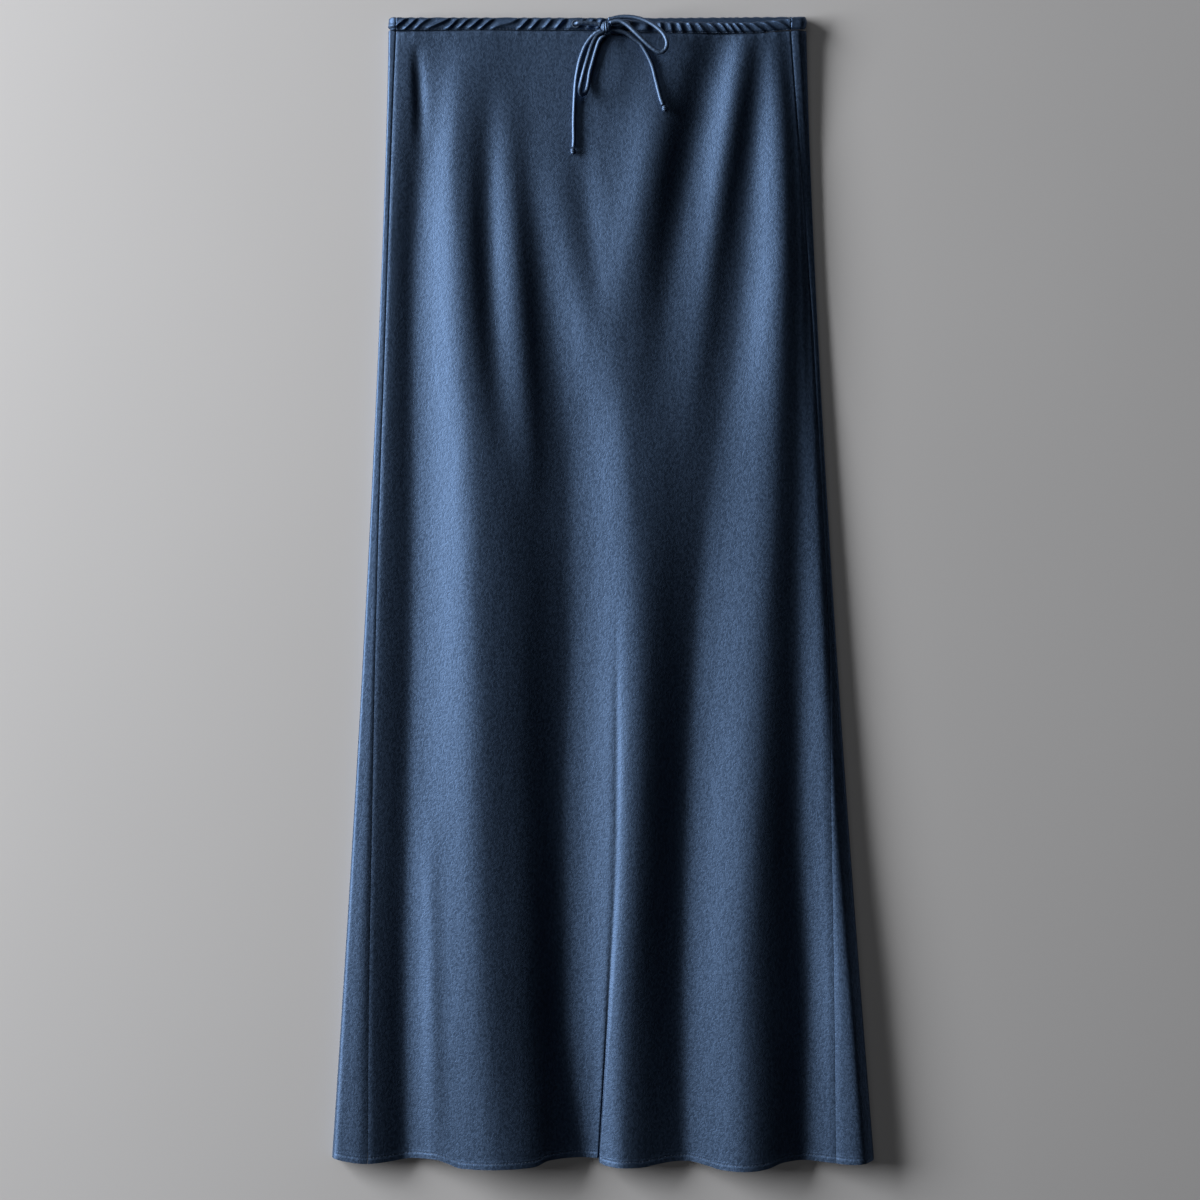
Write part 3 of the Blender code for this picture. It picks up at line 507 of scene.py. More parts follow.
# One row for each long fold line: where it lies across the skirt at each station, and its height there.
longFolds = {
    "left roll": ((-0.1745, -0.1755, -0.180, -0.184, -0.186, -0.189, -0.195, -0.203, -0.208, -0.208),
                  (0.0098, 0.0090, 0.0092, 0.0096, 0.0100, 0.0103, 0.0108, 0.0119, 0.0136, 0.0150)),
    "left trough": ((-0.160, -0.155, -0.159, -0.163, -0.165, -0.165, -0.166, -0.170, -0.172, -0.170),
                    (0.0108, 0.0074, 0.0052, 0.0048, 0.0050, 0.0050, 0.0050, 0.0050, 0.0046, 0.0046)),
    "left ridge": ((-0.104, -0.121, -0.126, -0.123, -0.119, -0.111, -0.106, -0.104, -0.100, -0.089),
                   (0.0124, 0.0122, 0.0128, 0.0148, 0.0168, 0.0195, 0.0215, 0.0235, 0.0250, 0.0255)),
    "middle trough": ((-0.063, -0.063, -0.063, -0.055, -0.045, -0.031, -0.029, -0.034, -0.033, -0.017),
                      (0.0116, 0.0095, 0.0075, 0.006, 0.005, 0.0046, 0.0046, 0.0046, 0.0046, 0.0046)),
    "middle ridge": ((0.070, 0.062, 0.041, 0.025, 0.017, 0.024, 0.032, 0.028, 0.021, 0.018),
                     (0.0126, 0.0125, 0.0128, 0.013, 0.0135, 0.0155, 0.018, 0.0195, 0.019, 0.018)),
    "right valley": ((0.129, 0.127, 0.124, 0.121, 0.113, 0.096, 0.080, 0.071, 0.068, 0.070),
                     (0.0112, 0.0075, 0.006, 0.006, 0.0065, 0.008, 0.006, 0.0046, 0.0046, 0.0046)),
    "right ridge": ((0.146, 0.151, 0.154, 0.155, 0.152, 0.147, 0.139, 0.130, 0.124, 0.125),
                    (0.0124, 0.0128, 0.014, 0.015, 0.016, 0.0165, 0.0175, 0.0195, 0.021, 0.0215)),
    "right trough": ((0.157, 0.162, 0.167, 0.169, 0.170, 0.169, 0.168, 0.168, 0.175, 0.174),
                     (0.0116, 0.0098, 0.0095, 0.0096, 0.0102, 0.0102, 0.0094, 0.0070, 0.0046, 0.0046)),
    "right roll": ((0.168, 0.171, 0.174, 0.176, 0.178, 0.182, 0.189, 0.200, 0.213, 0.223),
                   (0.0118, 0.0092, 0.0070, 0.0066, 0.0076, 0.0096, 0.0120, 0.0145, 0.0172, 0.0180)),
}

# How the flank left of each fold line is bent at the waist and at the hem: the first number draws its
# steep part towards the crest, and the second makes it straighter, with a sharper crest and trough.
flanks = {
    "left roll": ((1.0, 0.0), (1.0, 0.0)), "left trough": ((0.75, 0.3), (0.75, 0.5)),
    "left ridge": ((1.2, 0.3), (1.1, 0.95)), "middle trough": ((1.0, 0.2), (0.85, 0.6)),
    "middle ridge": ((1.1, 0.2), (1.4, 0.7)), "right valley": ((1.0, 0.3), (0.95, 0.7)),
    "right ridge": ((1.15, 0.2), (1.1, 0.9)), "right trough": ((0.95, 0.2), (0.85, 0.7)),
    "right roll": ((1.0, 0.3), (1.1, 0.8)), "edge": ((1.0, 0.0), (1.0, 0.0)),
}

# One row for each fold that fades out: its upper and lower end below the waist seam, its line across at
# the top, the middle and the end, its height, its half width on the left and on the right, and a power
# that is under 1 where it is strongest near its upper end.
shortFolds = {
    "left pinch": (0.034, 0.376, (-0.098, -0.099, -0.084), -0.0045, 0.011, 0.011, 1.0),
    "left pucker": (0.043, 0.419, (-0.082, -0.071, -0.058), 0.0042, 0.012, 0.012, 1.0),
    "yoke shoulder": (0.077, 0.334, (-0.050, -0.024, 0.003), 0.0025, 0.019, 0.022, 1.0),
    "yoke dip": (0.086, 0.257, (-0.020, -0.013, -0.001), -0.0020, 0.012, 0.012, 1.0),
    "yoke ridge": (0.020, 0.260, (0.052, 0.036, 0.020), 0.0036, 0.018, 0.020, 0.8),
    "hip trough": (0.000, 0.376, (0.097, 0.060, 0.045), -0.0050, 0.016, 0.016, 0.5),
    "hip ridge": (0.000, 0.385, (0.124, 0.095, 0.073), 0.0056, 0.013, 0.013, 0.45),
    "left shoulder": (0.330, 1.250, (-0.074, -0.062, -0.055), 0.0022, 0.018, 0.018, 1.0),
    "hem ripple": (0.642, 1.036, (-0.150, -0.147, -0.143), 0.0016, 0.008, 0.008, 1.0),
    "left dimple": (0.010, 0.105, (-0.161, -0.159, -0.158), -0.0024, 0.004, 0.006, 0.8),
}

# How fast a short fold fades towards its ends: its height follows a half sine to this power.
shortFoldPower = 1.2

# The narrow crease left of the middle ridge: the cloth on its right lies over the cloth on its left.
middleCrease = {
    "across": (-0.020, -0.020, -0.022, -0.018, -0.010, 0.005, 0.0120, 0.0114, 0.0048, -0.0036),
    "fadeIn": (0.47, 0.66), "sharpens": (0.70, 0.97), "depth": (0.0007, 0.0015), "halfWidth": (0.0030, 0.0007),
    "step": 0.0004, "stepWidth": 0.0010, "overlap": 0.0005, "overlapWidth": 0.011, "overlapReach": 0.018,
}

# The hem's lower edge: places across, and how far each hangs below the hem line.
hemEdge = {
    "left": ((-0.2335, -0.220, -0.202, -0.182, -0.161, -0.145, -0.133, -0.122, -0.106, -0.080, -0.059, -0.046,
              -0.029, -0.002),
             (0.0006, 0.0034, 0.0049, 0.0034, 0.0010, 0.0015, 0.0046, 0.0080, 0.0083, 0.0077, 0.0064, 0.0016,
              0.0005, 0.0009)),
    "right": ((-0.006, -0.0036, 0.002, 0.015, 0.031, 0.046, 0.060, 0.073, 0.087, 0.101, 0.118, 0.130, 0.142,
               0.155, 0.169, 0.196, 0.210, 0.224, 0.2335),
              (0.0020, 0.0042, 0.0066, 0.0080, 0.0080, 0.0057, 0.0040, 0.0037, 0.0062, 0.0097, 0.0106, 0.0102,
               0.0083, 0.0040, 0.0029, 0.0044, 0.0053, 0.0046, 0.0022)),
    "turned": 0.0062, "turnedRise": 0.0004, "turnedWidth": 0.0008,
    "stitchUp": 0.0050, "stitchDip": 0.0005, "stitchReach": 0.0007,
}

# The casing's front edge lines, and how its gathers run from left to right.
waist = {
    "across": (-0.180, 0, 0.044, 0.120, 0.163),
    "stitch": (0.4833, 0.4830, 0.4806, 0.4802, 0.4832),
    "fold": (0.4940, 0.4936, 0.4904, 0.4898, 0.4936),
    "backFold": ((-0.185, 0, 0.1755), (0.4944, 0.4952, 0.4965)),
    "wrapFoldRight": 0.4942, "backDepth": 0.0108,
    "gathers": ((-0.178, -0.024, 13, 1), (-0.024, 0.058, 7, 0.3), (0.058, 0.161, 12, -1)),
    "uneven": ((0.26, 110, 0), (0.20, 53, 1), (0.09, 211, 2)),
    "sizes": (0.78, (0.22, 2.1, 0.7), (0.14, 5.3, 0)), "crestBend": 0.45, "crestPower": 1.25,
    "lean": 1.25, "gatherRise": 0.0013, "gatherSink": 0.0011, "backRiseShare": 0.5,
    "puckerRise": 0.0007, "puckerStart": 0.003, "puckerReach": 0.0042, "puckerPower": 1.3,
    "pinch": 0.0009, "pinchReach": 0.0014,
    "layerMiddle": 0.0032, "layerRise": 0.0072,
}
waistTop = waist["layerMiddle"] + waist["layerRise"]
eyelets = {"eyeletLeft": (-0.0234, 0.4878), "eyeletRight": (0.0216, 0.4874)}
eyelet = {
    "hole": 0.0026, "holeEdge": (0.72, 1.06), "holeDepth": 0.0030, "calm": 0.006, "calming": 0.92, "calmPower": 4,
    "ring": 0.0030, "lift": 0.0034, "thread": 0.00055, "binding": 26, "slant": 0.35, "tube": (0.78, 0.30),
    "stepsPerTurn": 8, "around": 12,
}


def alongSkirt(values, y):
    return smoothRead(skirt["stations"], values, np.clip(skirt["topY"] - np.asarray(y, float), 0, skirtLength))


# Share of the way from the waist seam down to the hem.
def fallAt(y):
    return np.clip((skirt["topY"] - np.asarray(y, float)) / skirtLength, 0, 1)


# The outline widens from the waist to the hem as the share of the length to the power of the flare.
def outlineAt(y, side):
    top = skirt["waistLeft"] if side < 0 else skirt["waistRight"]
    return side * (top + (skirt["halfWidthHem"] - top) * fallAt(y) ** skirt["flare"])


# A side seam lies a given way in from its outline.
def seamAt(y, side):
    inset = skirt["leftSeam"] if side < 0 else skirt["rightSeam"]
    return outlineAt(y, side) - side * alongSkirt(inset, y)


def waistLine(x, line):
    return smoothRead(waist["across"], waist[line], x)


# The hem's edge: one smooth line left of the crease and another right of it, which hangs lower.
def hemAt(x, offset=None):
    x = np.asarray(x, float)
    offset = x - middleCrease["across"][-1] if offset is None else offset
    left, right = (smoothRead(*hemEdge[side], x) for side in ("left", "right"))
    return skirt["hemY"] - np.where(offset < 0, left, right)


# Adds sine waves of x to a value, each given as its height, its rate and its start.
def addWaves(x, value, waves):
    return sum((height * np.sin(x * rate + start) for height, rate, start in waves), value)


# Number of gathers from the left seam to x, unevenly spaced, and how far they lean there.
def gatherCount(x):
    x = np.asarray(x, float)
    count = sum(number * np.clip((x - start) / (end - start), 0, 1) for start, end, number, lean in waist["gathers"])
    middles = [(start + end) / 2 for start, end, number, lean in waist["gathers"]]
    uneven = addWaves(x, 0, waist["uneven"])
    return count + uneven, smoothRead(middles, [row[3] for row in waist["gathers"]], x)


# The gathers' wave from 0 to 1: a cosine of the count, shifted by the lean up the casing, sharper on
# its crests, and uneven from gather to gather.
def gatherWave(x, share):
    count, lean = gatherCount(x)
    turn = 2 * math.pi * (count - waist["lean"] * lean * (share - 0.5))
    wave = 0.5 + 0.5 * np.cos(turn + waist["crestBend"] * np.sin(turn))
    return wave ** waist["crestPower"], addWaves(count, waist["sizes"][0], waist["sizes"][1:])


# Joins the fold lines: on each flank q is the share across to a power, counted from the trough, and the
# height rises by a mix of 3q^2 - 2q^3 and the straighter 1.2q - 0.2q^6 from one line to the next.
def joinFolds(knots, heights, x, y):
    piece = np.clip((x[..., None] >= knots[..., 1:-1]).sum(-1), 0, knots.shape[-1] - 2)
    pick = lambda table, k: np.take_along_axis(table, (piece + k)[..., None], -1)[..., 0]
    start, end = pick(heights, 0), pick(heights, 1)
    part = np.clip((x - pick(knots, 0)) / (pick(knots, 1) - pick(knots, 0)), 0, 1)
    fall = fallAt(y)[..., None]
    waistward, hemward = (np.array([row[k] for row in flanks.values()])[piece] for k in (0, 1))
    bend, straight = np.moveaxis(waistward * (1 - fall) + hemward * fall, -1, 0)
    up = np.where(end > start, part, 1 - part) ** bend
    lift = (1 - straight) * up * up * (3 - 2 * up) + straight * (1.2 * up - 0.2 * up ** 6)
    return np.minimum(start, end) + np.abs(end - start) * lift


# The form without its small folds: fold lines joined by their flanks, and at both outlines a rim that
# rises steeply and then ever flatter to the outer fold line, a mix of 1 - (1 - share) to two powers.
def skirtForm(x, y):
    edge = np.full(x.shape, skirt["edgeRadius"])
    left, right = outlineAt(y, -1), outlineAt(y, 1)
    places = [alongSkirt(across, y) for across, height in longFolds.values()]
    heights = [alongSkirt(height, y) for across, height in longFolds.values()]
    knots = np.stack([left - skirt["gap"]] + places + [right + skirt["gap"]], axis=-1)
    z = joinFolds(knots, np.stack([edge] + heights + [edge], axis=-1), x, y)
    fall = fallAt(y)
    for border, k, (waistRim, hemRim) in ((left, 0, skirt["rim"][0]), (right, -1, skirt["rim"][1])):
        crest, top, rim = places[k], heights[k], waistRim + (hemRim - waistRim) * fall
        part = (x - border) / (crest - border)
        rest = 1 - np.clip(part, 0, 1)
        roll = rim * (1 - rest ** skirt["rimPower"]) + (1 - rim) * (1 - rest ** skirt["edgeFullness"])
        z = np.where(part < 1, edge + (top - edge) * roll, z)
    return z


# Height of the skirt's upper face: the form averaged over a few millimetres on both sides, so that no
# fold line is hard, with the short folds, the crease, the waist's puckers and the turned hem on top.
def clothHeight(x, y, creaseOffset=None):
    x, y = np.broadcast_arrays(np.asarray(x, float), np.asarray(y, float))
    left, right = outlineAt(y, -1), outlineAt(y, 1)
    inward = np.minimum(x - left, right - x)
    reach = skirt["soften"] * ease(0, skirt["softenFade"] * skirt["soften"], inward)
    z = sum(share * skirtForm(x + step * reach, y) for step, share in skirt["softenShares"])
    below = skirt["topY"] - y
    for upper, lower, (first, middle, last), height, leftReach, rightReach, early in shortFolds.values():
        run = np.clip((below - upper) / (lower - upper), 0, 1)
        line = first * (1 - run) * (1 - 2 * run) + middle * 4 * run * (1 - run) + last * run * (2 * run - 1)
        away = (x - line) / np.where(x < line, leftReach, rightReach)
        z = z + height * np.sin(math.pi * run ** early) ** shortFoldPower * np.exp(-away ** 2)

    offset = x - alongSkirt(middleCrease["across"], y) if creaseOffset is None else creaseOffset
    fade = ease(*middleCrease["fadeIn"], below)
    sharp = ease(*middleCrease["sharpens"], below)
    depth, halfWidth = (start + (end - start) * sharp for start, end in map(middleCrease.get, ("depth", "halfWidth")))
    groove = depth * np.exp(-(offset / halfWidth) ** 2)
    step = middleCrease["step"] * sharp * ease(0, middleCrease["stepWidth"], offset)
    step = step + middleCrease["overlap"] * ease(0, middleCrease["overlapWidth"], offset)
    over = step * np.exp(-(offset / middleCrease["overlapReach"]) ** 2)
    z = z + fade * (over - groove)

    depth = np.clip(waistLine(x, "stitch") - y, 0, None)
    wave, size = gatherWave(x, 0)
    fade = np.exp(-(depth / waist["puckerReach"]) ** waist["puckerPower"])
    pucker = waist["puckerRise"] * (wave - 0.5) * size * fade * ease(0, waist["puckerStart"], depth)
    inside = ease(0, skirt["detailFade"], inward)
    z = z + inside * pucker - waist["pinch"] * np.exp(-(depth / waist["pinchReach"]) ** 2)

    up, soft = y - hemAt(x, offset), hemEdge["turnedWidth"]
    turned = hemEdge["turnedRise"] * (1 - ease(hemEdge["turned"] - soft, hemEdge["turned"] + soft, up))
    dip = hemEdge["stitchDip"] * np.exp(-((up - hemEdge["stitchUp"]) / hemEdge["stitchReach"]) ** 2)
    z = z + inside * (turned - dip)
    for side in (-1, 1):
        z = z - skirt["seamDip"] * np.exp(-((x - seamAt(y, side)) / skirt["seamReach"]) ** 2)
    return z


frontCloth = {
    "columns": (14, 24, 36, 20, 9, 30, 34, 18, 18, 8),
    "creaseStrip": 0.0022,
    "rows": ((0, 0.030, 20), (0.030, 0.979, 138), (0.979, 1, 24)),
}


def rowShares():
    parts = [np.linspace(start, end, count, endpoint=False) for start, end, count in frontCloth["rows"]]
    return np.concatenate(parts + [[1.0]])


# Where the painted sheen and the rubbing lie on folded edges, and how far they reach.
rubAndSheen = {"hem": 0.12, "hemReach": 0.0016, "waist": 0.4, "waistReach": 0.002, "casingReach": 0.12}


# How much an edge is rubbed and given a painted sheen: a little at the hem's fold and more at the waist's stitch
# line, fading fast.
def rubSheenMask(x, y, offset=None):
    up, down = y - hemAt(x, offset), waistLine(x, "stitch") - y
    hem = rubAndSheen["hem"] * np.exp(-(up / rubAndSheen["hemReach"]) ** 2)
    return np.clip(hem + rubAndSheen["waist"] * np.exp(-(down / rubAndSheen["waistReach"]) ** 2), 0, 1)


# A line down the cloth: it gives the place across of a table's row, moved sideways, at each y.
def guide(across, moved=0.0):
    return lambda y: alongSkirt(across, y) + moved


# The front: columns follow the seams, the fold lines and the crease, and rows run from casing to hem.
def makeFrontCloth(material):
    creaseAt, strip = guide(middleCrease["across"]), frontCloth["creaseStrip"]
    folds = [guide(across) for across, height in longFolds.values()]
    crease = [guide(middleCrease["across"], moved) for moved in (-strip, strip)]
    guides = [lambda y: seamAt(y, -1) + skirt["gap"] / 2, *folds[1:4], *crease, *folds[4:8],
              lambda y: seamAt(y, 1) - skirt["gap"] / 2]
    rows = rowShares()
    columns, offsets = [], []
    for k, (left, right, count) in enumerate(zip(guides, guides[1:], frontCloth["columns"])):
        for share in np.arange(count + (k == len(guides) - 2)) / count:
            place = lambda y: (1 - share) * left(y) + share * right(y)
            top = waistLine(place(skirt["topY"]), "stitch") - skirt["gap"]
            lowest = np.array(skirt["hemY"])
            offset = place(lowest) - creaseAt(lowest)
            y = top + rows * (hemAt(place(lowest), offset) - top)
            x = place(y)
            columns.append(np.stack([x, y], axis=-1))
            offsets.append(x - creaseAt(y))
    flat = np.stack(columns, axis=1)
    offset = np.stack(offsets, axis=1)
    z = clothHeight(flat[..., 0], flat[..., 1], offset)
    points = np.concatenate([flat, z[..., None]], axis=-1)
    rubSheen = rubSheenMask(flat[..., 0], flat[..., 1], offset)
    made = gridObject("frontCloth", points, material, uv=flat, flip=True, rubSheen=rubSheen)
    thicken(made, skirt["thickness"])
    return made


backCloth = {"strip": 12, "stripPower": 1.6, "turn": 9, "under": 15, "topLift": 0.0006, "hemRise": 0.003}


# The back: flat underneath, round at both outlines, and over onto the front as far as the seams.
def makeBackCloth(material):
    rows = rowShares()
    edges = []
    for side in (-1, 1):
        fold = waist["backFold"][1][0] if side < 0 else waist["wrapFoldRight"]
        topEdge = fold - waist["backDepth"] - skirt["gap"]
        found = []
        for share in (np.arange(backCloth["strip"] + 1) / backCloth["strip"])[::-1] ** backCloth["stripPower"]:
            place = lambda y: (1 - share) * outlineAt(y, side) + share * (seamAt(y, side) + side * skirt["gap"] / 2)
            y = topEdge + rows * (hemAt(place(skirt["hemY"])) - topEdge)
            x = place(y)
            found.append(np.stack([x, y, clothHeight(x, y)], axis=-1))
        for angle in 0.5 * math.pi * np.arange(1, backCloth["turn"] + 1) / backCloth["turn"]:
            hem = hemAt(side * skirt["halfWidthHem"]) + math.sin(angle) * backCloth["hemRise"]
            y = topEdge + rows * (hem - topEdge)
            x = outlineAt(y, side) - side * skirt["edgeRadius"] * (1 - math.cos(angle))
            z = np.where(rows == 0, backCloth["topLift"], 0) + skirt["edgeRadius"] * (1 - math.sin(angle))
            found.append(np.stack([x, y, z], axis=-1))
        edges.append(found)
    left, right = edges
    under = np.arange(1, backCloth["under"] + 1) / (backCloth["under"] + 1)
    points = np.stack(left + [left[-1] + (right[-1] - left[-1]) * share for share in under] + right[::-1], axis=1)
    run = np.cumsum(np.hypot(*np.moveaxis(np.diff(points, axis=1, prepend=points[:, :1])[..., ::2], -1, 0)), axis=1)
    uv = np.stack([-run, points[..., 1]], axis=-1)
    made = gridObject("backCloth", points, material, uv=uv, rubSheen=rubSheenMask(points[..., 0], points[..., 1]))
    thicken(made, skirt["thickness"])
    return made


casing = {
    "pitch": 0.00075, "outerSteps": 24, "innerSteps": 7, "sidePoints": 25, "wrapPoints": 7,
    "outer": ((0, 0.05, 0.14, 0.30, 0.5, 0.72, 0.90, 1.0),
              (0.0018, 0.0017, 0.0027, 0.0031, 0.0032, 0.0031, 0.0025, 0.0012)),
    "inner": ((0, 0.24, 0.5, 0.76, 1.0), (0.0006, -0.0030, -0.0032, -0.0030, -0.0012)),
    "swell": (0.05, 0.94, 0.6), "foldRipple": 0.0005, "foldRipplePower": 6,
}


# A casing's spine: at each point its place across, its height, and the direction out of the waist.
def casingSpineFront():
    start = seamAt(skirt["topY"], -1) + skirt["gap"] / 2
    end = seamAt(skirt["topY"], 1) - skirt["gap"] / 2
    x = np.linspace(start, end, round((end - start) / casing["pitch"]) + 1)
    return together(x, waistTop, 0, 1)


# From the left seam round the left side in a half circle, flat behind, and round the right side.
def casingSpineBack():
    radius = waist["layerRise"] / 2
    middle = waist["layerMiddle"] + radius
    turnLeft = -(skirt["waistLeft"] - radius - waist["layerMiddle"])
    turnRight = skirt["waistRight"] - radius - waist["layerMiddle"]
    angle = np.linspace(0, math.pi, casing["sidePoints"])
    sine, cosine = np.sin(angle), np.cos(angle)
    left = together(turnLeft - radius * sine, middle + radius * cosine, -sine, cosine)
    right = together(turnRight + radius * sine, middle + radius * cosine, sine, cosine)[::-1]
    x = np.linspace(turnLeft, turnRight, round((turnRight - turnLeft) / (2 * casing["pitch"])) + 1)[1:-1]
    seam = seamAt(skirt["topY"], 1) + skirt["gap"] / 2
    wrap = np.linspace(turnRight, seam, casing["wrapPoints"])[1:]
    behind = together(x, waist["layerMiddle"], 0, -1)
    return np.concatenate([left, behind, right, together(wrap, middle + radius, 0, 1)])


# Rings of a casing: up its outward face and down its inward one. Leaning gathers raise and sink the
# outward face, the fold dips between gathers, and the eyelets are round hollows in a calm patch.
def casingRings(spine, stitch, fold, rise, sink, holes):
    outerShare = np.linspace(0, 1, casing["outerSteps"])
    innerShare = np.linspace(1, 0, casing["innerSteps"] + 1)[1:]
    share = np.concatenate([outerShare, innerShare])[None, :]
    outward = np.concatenate([np.ones_like(outerShare), np.zeros_like(innerShare)])[None, :]
    faces = smoothRead(*casing["outer"], outerShare), smoothRead(*casing["inner"], innerShare)
    x = spine[:, :1]
    wave, size = gatherWave(x, share)
    calm = np.ones_like(x)
    for place in eyelets.values():
        away = (x - place[0]) / eyelet["calm"]
        calm = calm * (1 - eyelet["calming"] * np.exp(-away ** eyelet["calmPower"]))
    start, length, power = casing["swell"]
    swell = np.sin(math.pi * np.clip(share * length + start, 0, 1)) ** power
    lift = outward * calm * size * swell * (rise * wave - sink * (1 - wave))
    count, lean = gatherCount(x)
    dip = casing["foldRipple"] * (0.5 - 0.5 * np.cos(2 * math.pi * count)) * share ** casing["foldRipplePower"]
    y = stitch[:, None] + share * (fold - stitch)[:, None] - dip
    if holes:
        for place in eyelets.values():
            distance = np.hypot(x - place[0], y - place[1]) / eyelet["hole"]
            lift = lift - outward * eyelet["holeDepth"] * (1 - ease(*eyelet["holeEdge"], distance))
    offset = np.concatenate(faces)[None, :] + lift
    points = together(spine[:, :1] + offset * spine[:, 2:3], y, spine[:, 1:2] + offset * spine[:, 3:4])
    # The casing's fold edge gets the same painted sheen and rubbing.
    rubSheen = np.exp(-((share - 1) / rubAndSheen["casingReach"]) ** 2) * outward + 0 * y
    return points, rubSheen


# A casing's UV, in metres along its spine and round its section.
def casingUv(points):
    around = runAlong(np.concatenate([points[0], points[0, :1]]))
    return together(runAlong(points[:, 0])[:, None], around[None, :])


def makeFrontCasing(material):
    spine = casingSpineFront()
    points, rubSheen = casingRings(spine, waistLine(spine[:, 0], "stitch"), waistLine(spine[:, 0], "fold"),
                              waist["gatherRise"], waist["gatherSink"], True)
    return gridObject("frontCasing", points, material, uv=casingUv(points), wrap=True, caps=True, rubSheen=rubSheen), points


def makeBackCasing(material):
    spine = casingSpineBack()
    x, outward = spine[:, 0], spine[:, 3]
    over = np.clip(0.5 + 0.5 * outward, 0, 1) * (x > 0)
    fold = smoothRead(*waist["backFold"], x) * (1 - over) + waist["wrapFoldRight"] * over
    fold = np.where((x < 0) & (outward > -1), waist["backFold"][1][0], fold)
    above = np.clip(0.5 + 0.5 * outward, 0, 1)[:, None]
    rise = waist["gatherRise"] * waist["backRiseShare"] * above
    points, rubSheen = casingRings(spine, fold - waist["backDepth"], fold, rise, waist["gatherSink"] * above, False)
    return gridObject("backCasing", points, material, uv=casingUv(points), wrap=True, caps=True, rubSheen=rubSheen)


# Thread bound over a ring: a torus whose tube swells once for each turn of the thread round it.
def makeEyeletThread(name, place, material):
    rows = eyelet["binding"] * eyelet["stepsPerTurn"]
    turn = 2 * math.pi * np.arange(rows + 1)[:, None] / rows
    over = onceRound(eyelet["around"])[None, :]
    strand = np.abs(np.cos(0.5 * eyelet["binding"] * turn + eyelet["slant"] * over))
    tube = eyelet["thread"] * (eyelet["tube"][0] + eyelet["tube"][1] * strand)
    reach = eyelet["ring"] + tube * np.cos(over)
    height = waistTop + eyelet["lift"] + skirt["gap"] + tube * np.sin(over)
    points = together(place[0] + reach * np.cos(turn), place[1] + reach * np.sin(turn), height)
    return gridObject(name, points, material, wrap=True, caps=True)


stitches = {
    "length": 0.0021, "thickness": 0.00042, "around": 6, "steps": 5, "bluntness": 1.04, "sunk": 0.6,
    "waistPitch": 0.0030, "waistLift": 0.0001, "hemPitch": 0.0029, "hemLift": 0.00012,
    "seamMargin": 0.001, "creaseMargin": 0.0014, "linePoints": 400,
}


# A row of sewn stitches: each is a short rounded bar along its own direction, sunk at both ends.
def stitchRow(name, middles, headings, material):
    headings = unit(headings)
    side = unit(np.cross(headings, (0, 0, 1)))
    up = np.cross(side, headings)
    steps, around = stitches["steps"], stitches["around"]
    reach = np.linspace(-1, 1, steps)
    thick = stitches["thickness"] / 2 * np.sqrt(np.clip(stitches["bluntness"] - reach ** 2, 0, 1))
    sunk = -stitches["sunk"] * stitches["thickness"] * reach ** 2
    angle = onceRound(around)
    onwards = (stitches["length"] / 2 * reach)[None, :, None, None]
    run = middles[:, None, None, :] + headings[:, None, None, :] * onwards
    across = side[:, None, None, :] * (thick[:, None] * np.cos(angle))[None, :, :, None]
    rise = up[:, None, None, :] * (sunk[:, None] + thick[:, None] * np.sin(angle))[None, :, :, None]
    points = (run + across + rise).reshape(-1, 3)
    i, j = (part.ravel() for part in np.meshgrid(np.arange(steps - 1), np.arange(around), indexing="ij"))
    onward = (j + 1) % around
    one = np.stack([i * around + j, i * around + onward, (i + 1) * around + onward, (i + 1) * around + j], axis=-1)
    start = (np.arange(len(middles)) * steps * around)[:, None, None]
    ends = np.stack([np.arange(around)[::-1], (steps - 1) * around + np.arange(around)])
    faces = (one[None] + start).reshape(-1, 4).tolist() + (ends[None] + start).reshape(-1, around).tolist()
    mesh = bpy.data.meshes.new(name)
    mesh.from_pydata(points, [], faces)
    faceOutward(mesh)
    mesh.shade_smooth()
    mesh.materials.append(material)
    return linkObject(name, mesh)


# Places evenly spaced along a line of points, and the line's direction at each.
def spaced(line, pitch):
    run = runAlong(line)
    places = np.arange(pitch / 2, run[-1] - pitch / 3, pitch)
    read = lambda at: np.stack([np.interp(at, run, line[:, axis]) for axis in range(3)], axis=-1)
    return read(places), read(places + pitch / 4) - read(places - pitch / 4)


clothSatin = satinMaterial("frontSatin", navySatin)
backSatin = satinMaterial("backSatin", navySatin)
casingCloth = satinMaterial("casingSatin", casingSatin)
sewing = threadMaterial("sewingThread", stitchThread)
binding = threadMaterial("eyeletThread", eyeletThread, turns=1500.0)

front = makeFrontCloth(clothSatin)
back = makeBackCloth(backSatin)
print("skirt: the front and back cloths are made")

frontCasing, casingPoints = makeFrontCasing(casingCloth)
backCasing = makeBackCasing(casingCloth)
eyeletRings = [makeEyeletThread(name, place, binding) for name, place in eyelets.items()]
print("skirt: the casings and the eyelets are made")

waistLift = np.array([0, 0, stitches["waistLift"]])
waistStitches = stitchRow("waistStitches", *spaced(casingPoints[:, 1] + waistLift, stitches["waistPitch"]), sewing)
hemRows, creaseEnd = [], middleCrease["across"][-1]
for side in (-1, 1):
    ends = creaseEnd + side * stitches["creaseMargin"], seamAt(skirt["hemY"], side) - side * stitches["seamMargin"]
    x = np.linspace(*sorted(ends), stitches["linePoints"])
    y = hemAt(x) + hemEdge["stitchUp"]
    hemRows.append(spaced(together(x, y, clothHeight(x, y) + stitches["hemLift"]), stitches["hemPitch"]))
hemStitches = stitchRow("hemStitches", *(np.concatenate(parts) for parts in zip(*hemRows)), sewing)
print("skirt: the waist and hem stitches are sewn")

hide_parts("front_panel")
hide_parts("back_panel")
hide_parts("front_casing")
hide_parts("back_casing")
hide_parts("eyelet_left")
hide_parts("eyelet_right")
for piece in (front, back, frontCasing, backCasing, waistStitches, hemStitches, *eyeletRings):
    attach(piece, "root")

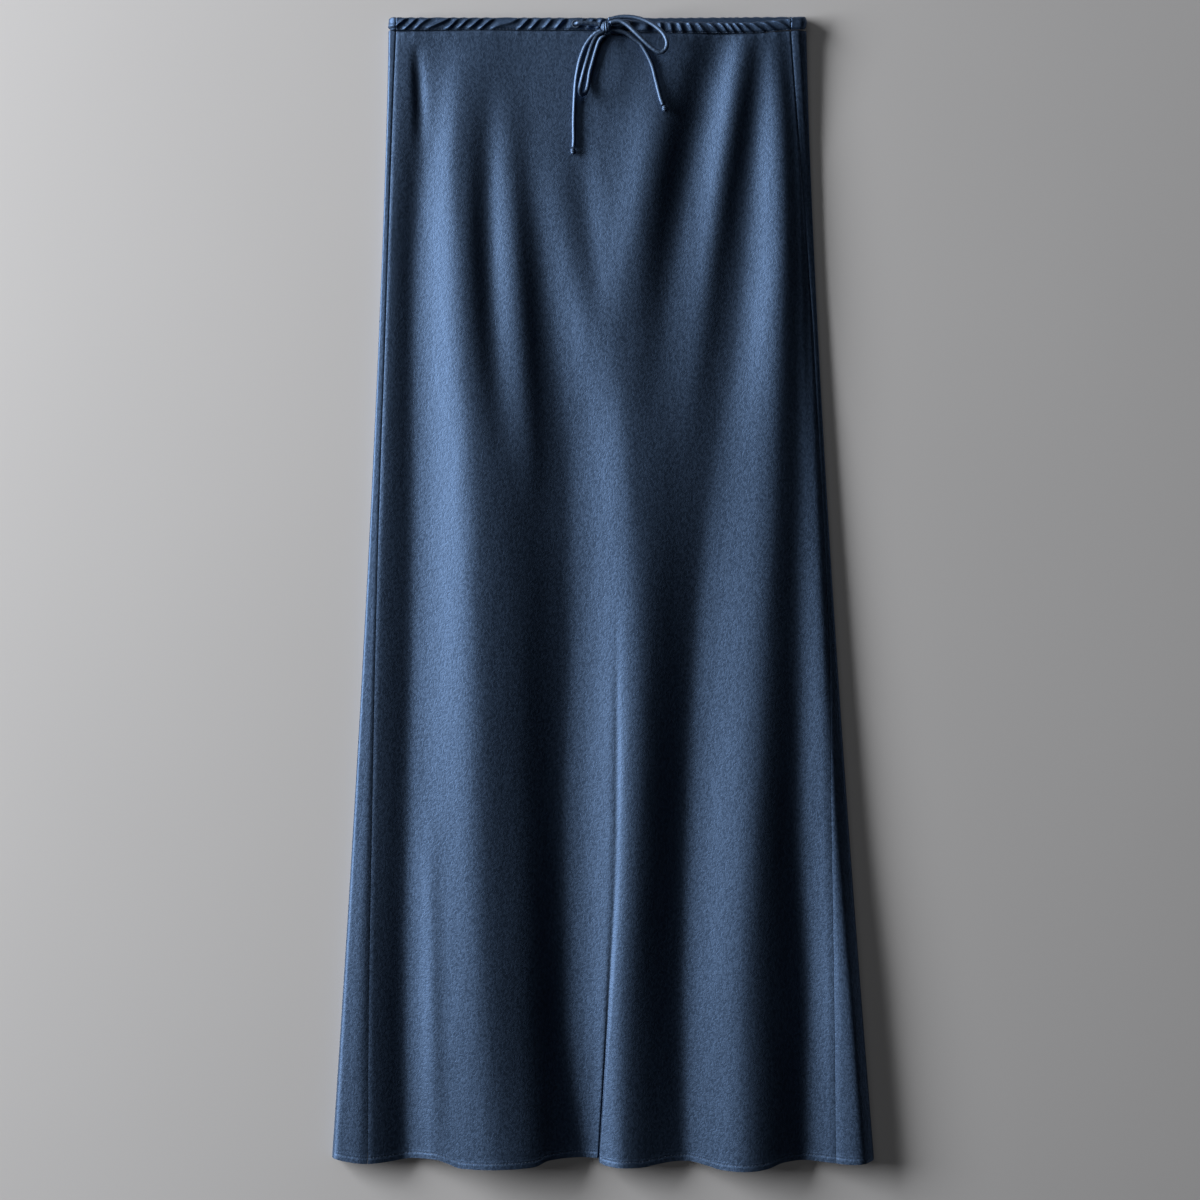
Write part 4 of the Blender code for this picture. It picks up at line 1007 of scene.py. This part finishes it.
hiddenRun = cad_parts["drawstring_in_casing"]
hiddenRun.data.materials.clear()
hiddenRun.data.materials.append(satinMaterial("hiddenCordSatin", cordSatin, coordinates="Object", grains=cordGrains))

studio = {
    "sky": (0.0035, 0.0035, 0.0038),
    "floorSize": 8.0, "floorDrop": 0.0003, "floorRoughness": 0.9, "floorSpecular": 0.1, "floorPatches": 3.0,
    "floorPale": (0.57, 0.57, 0.58), "floorDeep": (0.54, 0.54, 0.55), "floorGlow": 0.04,
    "lights": {
        "window": {"from": (-2.90, 0.90, 1.05), "aim": (0, 0, 0), "size": (2.6, 1.1), "power": 205},
        "ceiling": {"from": (-0.5, 1.5, 1.7), "aim": (0, 0.1, 0), "size": (1.2, 1.2), "power": 2.6},
    },
}


def makeLight(name, settings):
    data = bpy.data.lights.new(name, "AREA")
    data.shape = "RECTANGLE"
    data.size, data.size_y = settings["size"]
    data.energy = settings["power"]
    lamp = linkObject(name, data)
    lamp.location = settings["from"]
    aim = [there - here for there, here in zip(settings["aim"], settings["from"])]
    level = math.hypot(aim[0], aim[1])
    lamp.rotation_euler = (math.atan2(level, -aim[2]), 0, math.atan2(-aim[0], aim[1]))


# The floor: a square just under the skirt, in two pale greys that a soft noise mixes.
def makeFloor():
    half, drop = studio["floorSize"] / 2, -studio["floorDrop"]
    corners = [(-half, -half, drop), (half, -half, drop), (half, half, drop), (-half, half, drop)]
    mesh = bpy.data.meshes.new("floor")
    mesh.from_pydata(corners, [], [(0, 1, 2, 3)])
    pale, deep = ((*studio[tone], 1) for tone in ("floorPale", "floorDeep"))
    material, tree, shader = newMaterial("paleFloor")
    place = addNode(tree, "TexCoord")
    noise = addNode(tree, "TexNoise", {"Vector": place.outputs["Object"], "Scale": studio["floorPatches"]})
    feed(tree, shader, {
        "Base Color": mixColours(tree, noise.outputs["Fac"], deep, pale), "Roughness": studio["floorRoughness"],
        "Specular IOR Level": studio["floorSpecular"], "Emission Color": pale,
        "Emission Strength": studio["floorGlow"]})
    mesh.materials.append(material)
    floor = linkObject("floor", mesh)


world = bpy.data.worlds.new("studioWorld")
world.use_nodes = True
world.node_tree.nodes["Background"].inputs["Color"].default_value = (*studio["sky"], 1)
world.node_tree.nodes["Background"].inputs["Strength"].default_value = 1.0
bpy.context.scene.world = world
for name, settings in studio["lights"].items():
    makeLight(name, settings)
makeFloor()
bpy.context.scene.view_settings.view_transform = "Standard"
print("skirt: the floor and the lights are set")
